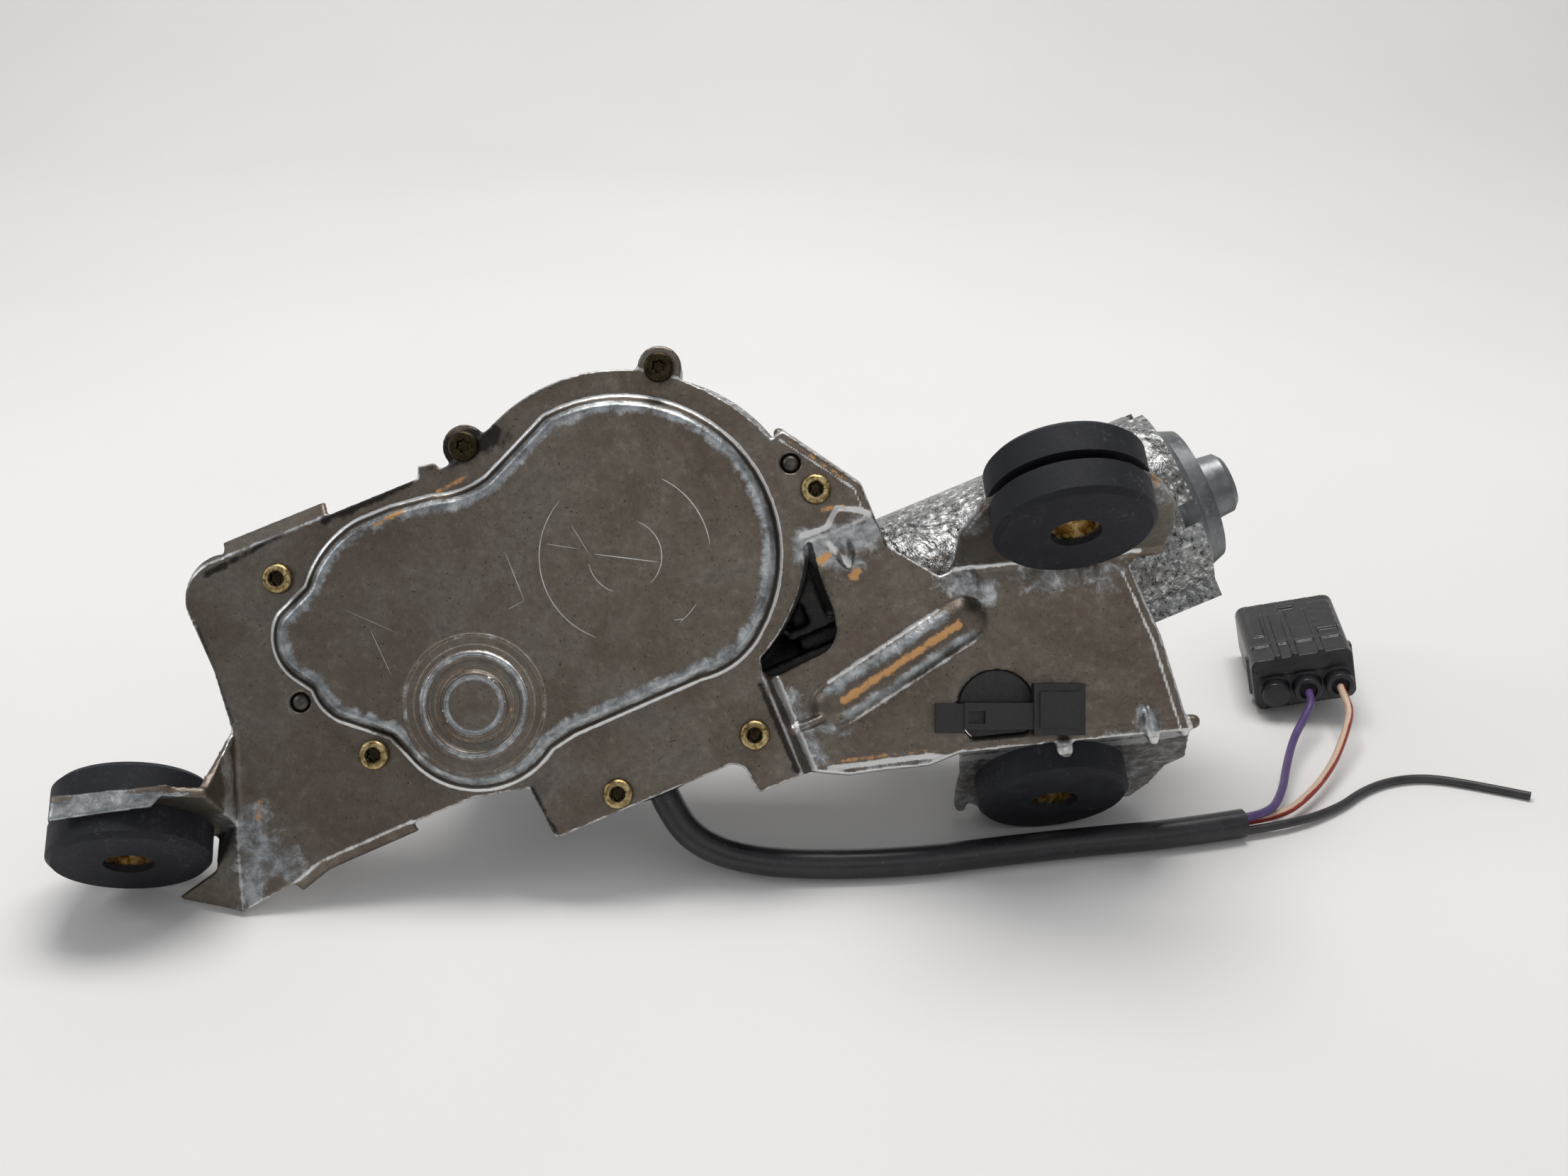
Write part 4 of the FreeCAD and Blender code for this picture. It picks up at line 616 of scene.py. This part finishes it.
def sheet_details(shape):
    """Turned rims, darts at the folds and the curled corner, melted into the plate."""
    for rim, back, inset in ((path_points(COVER_OUTLINE[-5:]), 5.5, 1.3),
                             (path_points(COVER_OUTLINE[9:12]), 6.0, -1.2),
                             (path_points(BRACKET_OUTLINE[6:9]), 10.5, -1.4)):
        solid_rod(shape, [(x + inset, back - 3.4, z) for x, z in rim], 1.5)
    solid_rod(shape, [(x, 6.6, z + 1.2) for x, z in path_points(BRACKET_OUTLINE[9:14])], 1.7)
    for centre, along, radii in (((132.1, 5.2, -18.6), (0.25, 1.0), (4.4, 2.2, 1.9)),
                                 ((161.8, 5.2, -29.4), (0.25, 1.0), (3.8, 2.2, 1.7)),
                                 ((161.2, 5.0, -73.4), (0.2, 1.0), (5.6, 2.1, 2.2)),
                                 ((78.2, 3.6, -38.2), (1.0, 0.0), (6.5, 1.3, 2.4)),
                                 ((104.4, 3.2, 1.0), (0.15, 1.0), (6.4, 2.2, 2.2)),
                                 ((106.4, 1.2, 9.4), (1.0, -0.1), (3.4, 2.0, 2.0)),
                                 ((137.8, 5.0, -70.4), (0.3, 1.0), (3.6, 2.4, 2.0))):
        solid_ball(shape, centre, along, radii)
    solid_rod(shape, [on_tab("lower", *p) for p in ((-22.8, 4, 0), (-23.8, -8, 0.3), (-24.0, -18, 1.0),
                                                    (-23.6, -20.5, 1.4))], 1.6)
    # folds rolled smooth where the tabs and the steps leave the plate
    solid_rod(shape, [on_tab("lower", a, 20.2, -0.6) for a in (-24.0, 37.0)], 2.0)
    solid_rod(shape, [on_tab("upper", a, -31.0, 0.4) for a in (-27.0, 26.0)], 2.0)


def wear(flat, *paths):
    """Amount of wear at each point: the strongest of several paths of (steps, width, strength)."""
    amount = np.zeros(len(flat))
    for steps, width, strength in paths:
        near = distance_to(path_points(steps), flat)
        amount = np.maximum(amount, strength * np.exp(-(near / width) ** 2))
    return amount


def plate_attributes(mesh):
    places = local(vertex_places(mesh))
    flat, depth = places[:, [0, 2]], places[:, 1]
    outline = path_points(LOBE_OUTLINE)
    lobe = distance_to(outline, flat) * np.where(inside(outline, flat), 1, -1)
    write(mesh, "lobe", np.where(depth < 1.2, lobe, -9.0))
    # wear along the cover's and bracket's edges and folds, and painted highlights on the rolled edges and
    # bends
    rubbed_and_highlit = wear(flat, (COVER_OUTLINE, 0.8, 0.62), (BRACKET_OUTLINE[6:15], 0.9, 0.85),
                  (BRACKET_OUTLINE[1:6], 0.8, 0.8),
                  ([(169.8, -33.0), (170.4, -53.0), (168.2, -77.0)], 0.5, 0.8),
                  ([(112.0, -63.0), (131.3, -68.6), (157.9, -76.6), (169.0, -79.0)], 1.3, 0.85),
                  ([(78.8, -51.5), (90.7, -54.6), (104.3, -58.4), (111.7, -62.0)], 0.9, 1.0),
                  ([(95.3, 8.0), (102.0, 7.6), (106.5, 11.2), (111.5, 8.6), (114.0, 6.5)], 0.9, 1.0),
                  ([(101.0, 3.4), (104.0, -4.0)], 1.3, 0.8), ([(74.0, -24.0), (74.6, -50.0)], 0.7, 0.7),
                  ([(87.0, -30.2), (121.0, -23.6)], 0.8, 0.7), ([(88.0, -42.4), (127.0, -35.0)], 0.7, 0.6),
                  ([(112.6, 6.4), (112.6, 14.2), (99.4, 33.6)], 0.4, 0.75))
    grey = wear(flat, ([(95.3, 5.0), (113.3, 2.5)], 5.0, 0.8), ([(99.0, 0.0), (105.0, -4.0)], 4.0, 0.6),
                ([(87.0, -32.2), (122.0, -25.6)], 2.0, 0.75), ([(89.0, -40.4), (127.0, -33.0)], 2.0, 0.75),
                ([(118.0, -65.5), (131.3, -69.0), (157.9, -76.2)], 3.2, 0.6),
                ([(76.0, -30.0), (77.0, -48.0)], 3.4, 0.55), ([(82.0, -41.0), (86.0, -43.0)], 3.0, 0.6),
                ([(128.0, -18.0), (134.0, -24.0)], 5.0, 0.62),
                ([(146.0, -26.0), (168.0, -33.0)], 5.5, 0.42),
                ([(161.2, -73.8), (161.2, -70.0)], 3.6, 0.62), ([(-62.0, -20.0), (-70.0, -6.0)], 6.0, 0.62),
                ([(-74.0, -25.0), (-64.0, -4.0)], 5.0, 0.6), ([(-60.6, 48.0), (-61.0, 20.0)], 1.6, 0.5),
                ([(88.0, -55.0), (108.0, -60.5)], 2.0, 0.5))
    out_of_plate = np.clip((depth - 9.0) / 3.0, 0, 1)
    grey = np.maximum(grey, 0.42 * out_of_plate)
    copper = wear(flat, ([(89.0, -36.0), (124.0, -29.2)], 1.4, 0.75),
                  ([(2.0, 53.6), (-6.0, 53.0)], 0.9, 0.6),
                  ([(97.5, 0.0), (99.5, 0.6)], 1.6, 0.7), ([(103.5, -7.0), (105.5, -6.2)], 1.5, 0.75),
                  ([(103.0, 12.4), (108.0, 10.8)], 1.0, 0.7), ([(12.0, 55.0), (20.0, 56.0)], 0.9, 0.6),
                  ([(101.0, 33.0), (113.0, 14.8)], 0.7, 0.45), ([(-62.0, -2.0), (-64.0, -6.0)], 1.6, 0.4),
                  ([(78.8, -49.8), (104.3, -56.8)], 0.8, 0.45))
    for name, spots in (("grey", [("left", 0, 21, 9.0, 0.9), ("upper", -25, -6, 8.0, 0.7),
                                  ("upper", 24, 2, 9.0, 0.6), ("lower", -24, -14, 9.0, 0.6)]),
                        ("copper", [("upper", 22, 6, 4.0, 0.55)])):
        for tab, across, forward, reach, strength in spots:
            near = np.linalg.norm(places - np.array(on_tab(tab, across, forward)), axis=1)
            amount = strength * np.exp(-(near / reach) ** 2)
            if name == "grey":
                grey = np.maximum(grey, amount)
            else:
                copper = np.maximum(copper, amount)
    # painted highlight: the folded lip of the left tab is painted full grey where it faces the light
    offset = places - np.array(TAB_CENTRES["left"])
    lip = ((offset @ np.array(TAB_FORWARD) > 19.4) & (places[:, 0] < -66)
           & (offset @ np.array(TAB_NORMAL) > 0.6))
    grey = np.where(lip, 1.0, grey)
    # dirt round the ear screw and along the top and left rims; painted shade in the stepped edge beside the
    # window; a dark line along the cover's edge near x 5; then painted shade on the parts deep in the
    # window slot
    grime_and_shade = wear(flat, ([(16.0, 63.5), (30.0, 63.5)], 4.2, 0.9), ([(-18.0, 59.4), (6.0, 60.2)], 1.6, 0.7),
                 ([(-52.0, 58.0), (-30.0, 60.4)], 1.2, 0.55), ([(-59.6, 46.0), (-60.6, 20.0)], 0.8, 0.5),
                 ([(70.5, -24.0), (70.8, -48.0)], 1.0, 0.7), ([(6.0, -38.6), (5.0, -26.0)], 0.9, 0.5))
    grime_and_shade = np.maximum(grime_and_shade, 0.8 * np.clip((depth - 12.0) / 3.0, 0, 1)
                       * (np.abs(places[:, 0] - 84) < 12) * (np.abs(places[:, 2] + 10) < 16))
    write(mesh, "rubbed_and_highlit", rubbed_and_highlit)
    write(mesh, "grey", grey)
    write(mesh, "copper", copper)
    write(mesh, "grime_and_shade", grime_and_shade)


def case_attributes(mesh):
    """A little oil all over the case, and painted shade where the case shows through the plate's window."""
    places = local(vertex_places(mesh))
    # painted shade in the window slot, fading out further back; 0.12 is an even film of oil
    window = np.exp(-(((places[:, 0] - 84.0) / 13.0) ** 4 + ((places[:, 2] + 12.0) / 17.0) ** 4))
    window *= np.clip((30.0 - places[:, 1]) / 6.0, 0, 1)
    write(mesh, "grime_and_shade", 0.95 * window + 0.12)


def screw_attributes(mesh, centres, base):
    """Painted shade in each screw's socket, a darker ring round the edge of its head, and dirt at the level
    base elsewhere.
    """
    places = local(vertex_places(mesh))
    grime_and_shade = np.full(len(places), base)
    for x, z in centres:
        off = np.linalg.norm(places[:, [0, 2]] - np.array((x, z)), axis=1)
        # painted shade: the socket is painted dark
        grime_and_shade = np.where(off < SOCKET_RADIUS, 1.2, grime_and_shade)
        grime_and_shade = np.maximum(grime_and_shade, base + 0.5 * np.exp(-((off - 4.4) / 0.7) ** 2))
    write(mesh, "grime_and_shade", grime_and_shade)


def lathe_piece(name, outline, origin, material, turns=96):
    """A turned shape facing forwards: each outline point is (radius, depth) in millimetres."""
    shape = bmesh.new()
    rows = []
    for radius, depth in outline:
        if radius < 1e-6:
            rows.append([shape.verts.new(world(origin[0], depth, origin[1]))])
            continue
        rows.append([shape.verts.new(world(origin[0] + radius * math.cos(a), depth,
                                           origin[1] + radius * math.sin(a)))
                     for a in np.linspace(0, math.tau, turns, endpoint=False)])
    for first, second in zip(rows[:-1], rows[1:]):
        for i in range(turns):
            j = (i + 1) % turns
            corners = [first[i % len(first)], first[j % len(first)],
                       second[j % len(second)], second[i % len(second)]]
            shape.faces.new(list(dict.fromkeys(corners)))
    bmesh.ops.recalc_face_normals(shape, faces=shape.faces)
    mesh = bpy.data.meshes.new(name)
    shape.to_mesh(mesh)
    shape.free()
    mesh.shade_smooth()
    return link(name, mesh, material)


def smooth_profile(points, steps=5):
    """Points eased between the given (radius, depth) corners."""
    corners = np.array(points, float)
    out = [corners[0]]
    for before, corner, after in zip(corners[:-2], corners[1:-1], corners[2:]):
        a, b = (before + corner) / 2, (corner + after) / 2
        for t in np.linspace(0, 1, steps):
            out.append((1 - t) ** 2 * a + 2 * t * (1 - t) * corner + t * t * b)
    out.append(corners[-1])
    return out


def shaft_boss(material):
    """Concentric rings pressed into the lobe round the output shaft, and the flat knob."""
    crown = -3.06
    profile = smooth_profile([
        (19.6, crown + 0.5), (19.0, crown), (18.2, crown - 0.12), (17.2, crown - 0.02),
        (14.3, crown - 0.02), (13.7, crown - 0.8), (12.5, crown - 0.8), (11.8, crown + 0.1),
        (11.2, crown - 0.02), (9.2, crown - 0.02), (8.6, crown - 0.9), (7.6, crown - 1.2),
        (6.4, crown - 1.2), (5.9, crown - 0.75), (5.3, crown - 0.75), (0.0, crown - 0.75),
    ])
    piece = lathe_piece("shaft_boss_rings", profile, (0.0, 0.0), material)
    places = local(vertex_places(piece.data))
    radius = np.linalg.norm(places[:, [0, 2]], axis=1)

    def bell(at, width):
        return np.exp(-((radius - at) / width) ** 2)

    write(piece.data, "lobe", np.full(len(radius), 30.0))
    write(piece.data, "grey", np.maximum.reduce([0.75 * bell(13.3, 0.9), 0.95 * bell(7.2, 0.9),
                                                 0.35 * bell(18.2, 0.6)]))
    # the rubbed amount here paints bright highlight lines on the ring walls, with some wear
    write(piece.data, "rubbed_and_highlit", np.maximum(0.55 * bell(8.2, 0.35), 0.35 * bell(13.9, 0.3)))
    write(piece.data, "copper", np.maximum(0.35 * bell(9.6, 0.5), 0.3 * bell(18.0, 0.5)))
    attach(piece, "case")


def scribed_marks(material):
    """Bright compass scratches on the lobe's face, as hair-thin tapered ribbons."""
    cx, cz, level = 50.8, 20.6, -3.09
    lines = []
    for radius, first, last, width in ((22.25, 116.5, 228.5, 0.30), (22.25, -14.5, 42.5, 0.32),
                                       (22.25, -72.5, -56.0, 0.22), (9.56, -68.5, 48.5, 0.26),
                                       (9.56, 169.0, 229.8, 0.24)):
        angles = np.radians(np.linspace(first, last, 48))
        lines.append(([(cx + radius * math.cos(a), cz + radius * math.sin(a)) for a in angles], width))
    for start, end, width in (((43.5, 24.3), (58.3, 15.9), 0.26), ((33.0, 31.5), (40.5, 27.0), 0.16),
                              ((22.5, 33.5), (22.3, 20.0), 0.22), ((22.3, 20.0), (17.5, 19.5), 0.16),
                              ((-17.5, 28.5), (-17.0, 15.5), 0.20), ((-22.0, 36.0), (-11.5, 25.0), 0.14),
                              ((56.0, 0.5), (59.0, -0.2), 0.16), ((41.0, 33.5), (42.5, 24.5), 0.14)):
        lines.append(([tuple(np.array(start) * (1 - t) + np.array(end) * t)
                       for t in np.linspace(0, 1, 10)], width))
    shape = bmesh.new()
    for points, width in lines:
        points = np.array(points)
        along = np.gradient(points, axis=0)
        side = np.stack([-along[:, 1], along[:, 0]], 1) / np.linalg.norm(along, axis=1)[:, None]
        share = np.linspace(0, 1, len(points))
        half = width / 2 * (0.15 + 0.85 * np.sin(math.pi * share) ** 0.4)
        left = [shape.verts.new(world(p[0], level, p[1])) for p in points + side * half[:, None]]
        right = [shape.verts.new(world(p[0], level, p[1])) for p in points - side * half[:, None]]
        for i in range(len(points) - 1):
            shape.faces.new((left[i], left[i + 1], right[i + 1], right[i]))
    mesh = bpy.data.meshes.new("scribed_marks")
    shape.to_mesh(mesh)
    shape.free()
    piece = link("scribed_marks", mesh, material)
    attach(piece, "case")


def plug_details(shape):
    """Raised block, grip ribs and the bump on the plug's top, and the rims of its wire ports."""
    place = Matrix.Translation(floor(*PLUG_FOOT)) @ PLUG_TURN.to_4x4()
    for centre, extent in (((10.6, 27.0, 17.5), (6.0, 18.0, 0.9)), ((0.2, 36.0, 17.6), (4.6, 3.0, 0.9)),
                           ((-10.5, 29.0, 17.5), (3.2, 20.0, 0.7)), ((0.0, 13.2, 17.4), (27.0, 1.4, 0.8)),
                           ((-3.0, 5.2, 12.6), (22.0, 3.0, 1.6)), ((-9.0, 5.0, 2.6), (7.0, 3.0, 3.0))):
        stretch = Matrix.Diagonal((*(v * MM for v in extent), 1))
        middle = Matrix.Translation(Vector(centre) * MM)
        bmesh.ops.create_cube(shape, size=1.0, matrix=place @ middle @ stretch)


# ---------------------------------------------------------------- pieces

def paint(material, *names):
    for name in names:
        mesh = NODES[name].data
        mesh.materials.clear()
        mesh.materials.append(material)


camera()

# The harness: a sleeve from under the case, and three wires that leave its end.
SLEEVE_END, LEAD = floor(207.9, 12.4, 4.1), Vector((19.9, 4.6, 0)).normalized() * MM
ASIDE = Vector((-LEAD.y, LEAD.x, 0))
cord("harness_sleeve",
     [world(35, 12, -36), world(35, 12, -49), floor(60.0, -7.0, 9.2), floor(73.0, -7.6, 5.4),
      floor(90.0, -7.4, 4.2), floor(115.0, -6.0, 4.1), floor(140.0, -0.8, 4.1),
      floor(165.0, 3.8, 4.1), floor(188.0, 7.2, 4.1), SLEEVE_END],
     SLEEVE_RADIUS, sleeve_vinyl())
VIOLET_PORT, VIOLET_LEAD = on_plug(0.6, 0, 6.6), on_plug(0.6, -6, 6.6)
RED_PORT, RED_LEAD = on_plug(10.2, 0, 6.6), on_plug(10.2, -6, 6.6)
VIOLET_START = SLEEVE_END + Vector((0, 0, 1.8 * MM))
RED_START = SLEEVE_END + ASIDE * 1.6 + Vector((0, 0, -0.8 * MM))
BLACK_START = SLEEVE_END - ASIDE * 1.5 + Vector((0, 0, -1.6 * MM))
cord("wire_violet",
     [VIOLET_START, VIOLET_START + LEAD * 8, floor(221.8, 25.0, 6.2), floor(226.0, 38.0, 6.6),
      floor(231.4, 52.0, 7.4), floor(237.8, 63.0, 8.6), VIOLET_LEAD, VIOLET_PORT],
     WIRE_RADIUS,
     wire_cover("violet_wire", (0.055, 0.030, 0.12), (0.11, 0.065, 0.20)))
cord("wire_red",
     [RED_START, RED_START + LEAD * 12, floor(229.2, 25.2, 4.2), floor(239.2, 38.2, 5.6),
      floor(246.0, 51.0, 8.0), floor(250.6, 61.6, 10.8), RED_LEAD, RED_PORT],
     WIRE_RADIUS,
     wire_cover("red_wire", (0.22, 0.020, 0.012), (0.40, 0.045, 0.028), (0.62, 0.46, 0.34)))
cord("wire_black",
     [BLACK_START, BLACK_START + LEAD * 14, floor(238.0, 23.6, 1.5), floor(247.6, 33.0, 1.3),
      floor(257.4, 38.4, 1.3), floor(268.6, 40.0, 1.3), floor(282.0, 35.6, 1.3),
      floor(295.0, 30.2, 1.3)],
     WIRE_RADIUS,
     wire_cover("black_wire", (0.020, 0.020, 0.022), (0.045, 0.044, 0.046)))

lights()
stage()

BLACK = rubber()
YELLOW = yellow_zinc()
CAST = cast_metal()
STEEL = plain_metal("bright_steel", (0.30, 0.30, 0.31), (0.56, 0.56, 0.57))
DARK_STEEL = plain_metal("dark_steel", (0.055, 0.05, 0.045), (0.16, 0.145, 0.125), 0.32, 0.5)
BRONZE = plain_metal("bronze", (0.30, 0.18, 0.08), (0.52, 0.35, 0.17))
COPPER = plain_metal("copper", (0.42, 0.18, 0.08), (0.66, 0.33, 0.16))
BOARD = plastic("board", (0.16, 0.09, 0.04), (0.24, 0.15, 0.07))
NYLON = plastic("nylon", (0.62, 0.60, 0.52), (0.74, 0.73, 0.66))
CLIP = plastic("clip_plastic", (0.010, 0.010, 0.011), (0.020, 0.020, 0.022), 0.30, 0.44)
PLUG = plastic("plug_plastic", (0.011, 0.011, 0.013), (0.024, 0.024, 0.027), 0.24, 0.40,
               scale=500.0, push=0.3)

PLATE = plate_metal()
plate_attributes(skin("mounting_plate", PLATE, 0.6, 4, sheet_details).data)
shaft_boss(PLATE)
SCRATCH = plain_metal("scratched_steel", (0.45, 0.44, 0.42), (0.72, 0.71, 0.69))
scribed_marks(SCRATCH)
case_attributes(skin("gearbox_housing", CAST, 0.8, 3).data)
paint(galvanised(), "flux_band")
paint(dull_zinc(), "motor_yoke")
SCREW = screw_metal()
screw_attributes(skin("cover_screws", SCREW, 0.22, 2).data, COVER_SCREWS, 0.15)
screw_attributes(skin("ear_screws", SCREW, 0.22, 2).data, EAR_SCREWS, 0.75)
skin("plug_housing", PLUG, 0.35, 3, plug_details)
paint(YELLOW, "sleeve_left", "sleeve_upper", "sleeve_lower")
paint(DARK_STEEL, "locating_dowels", "motor_screws", "field_magnets")
paint(BLACK, "grommet_left", "grommet_upper", "grommet_lower", "cable_grommet", "shaft_seal",
      "wire_seals", "housing_gasket", "carbon_brushes", "suppression_chokes")
paint(CLIP, "bracket_clip")
paint(PLUG, "plug_lock")
paint(STEEL, "wheel_axle", "rocker_axle", "thrust_screw", "armature_shaft", "crank_pin", "output_shaft",
      "output_pinion", "rocker_sector", "connecting_rod", "bearing_clip", "crank_clip", "shaft_circlip",
      "brush_springs", "armature_core")
paint(BRONZE, "shaft_bush_inner", "shaft_bush_outer", "end_bearing", "drive_bearing", "brush_holders")
paint(COPPER, "armature_windings", "commutator", "park_contacts", "park_disc", "plug_terminals")
paint(BOARD, "brush_plate", "contact_plate")
paint(NYLON, "worm_wheel")
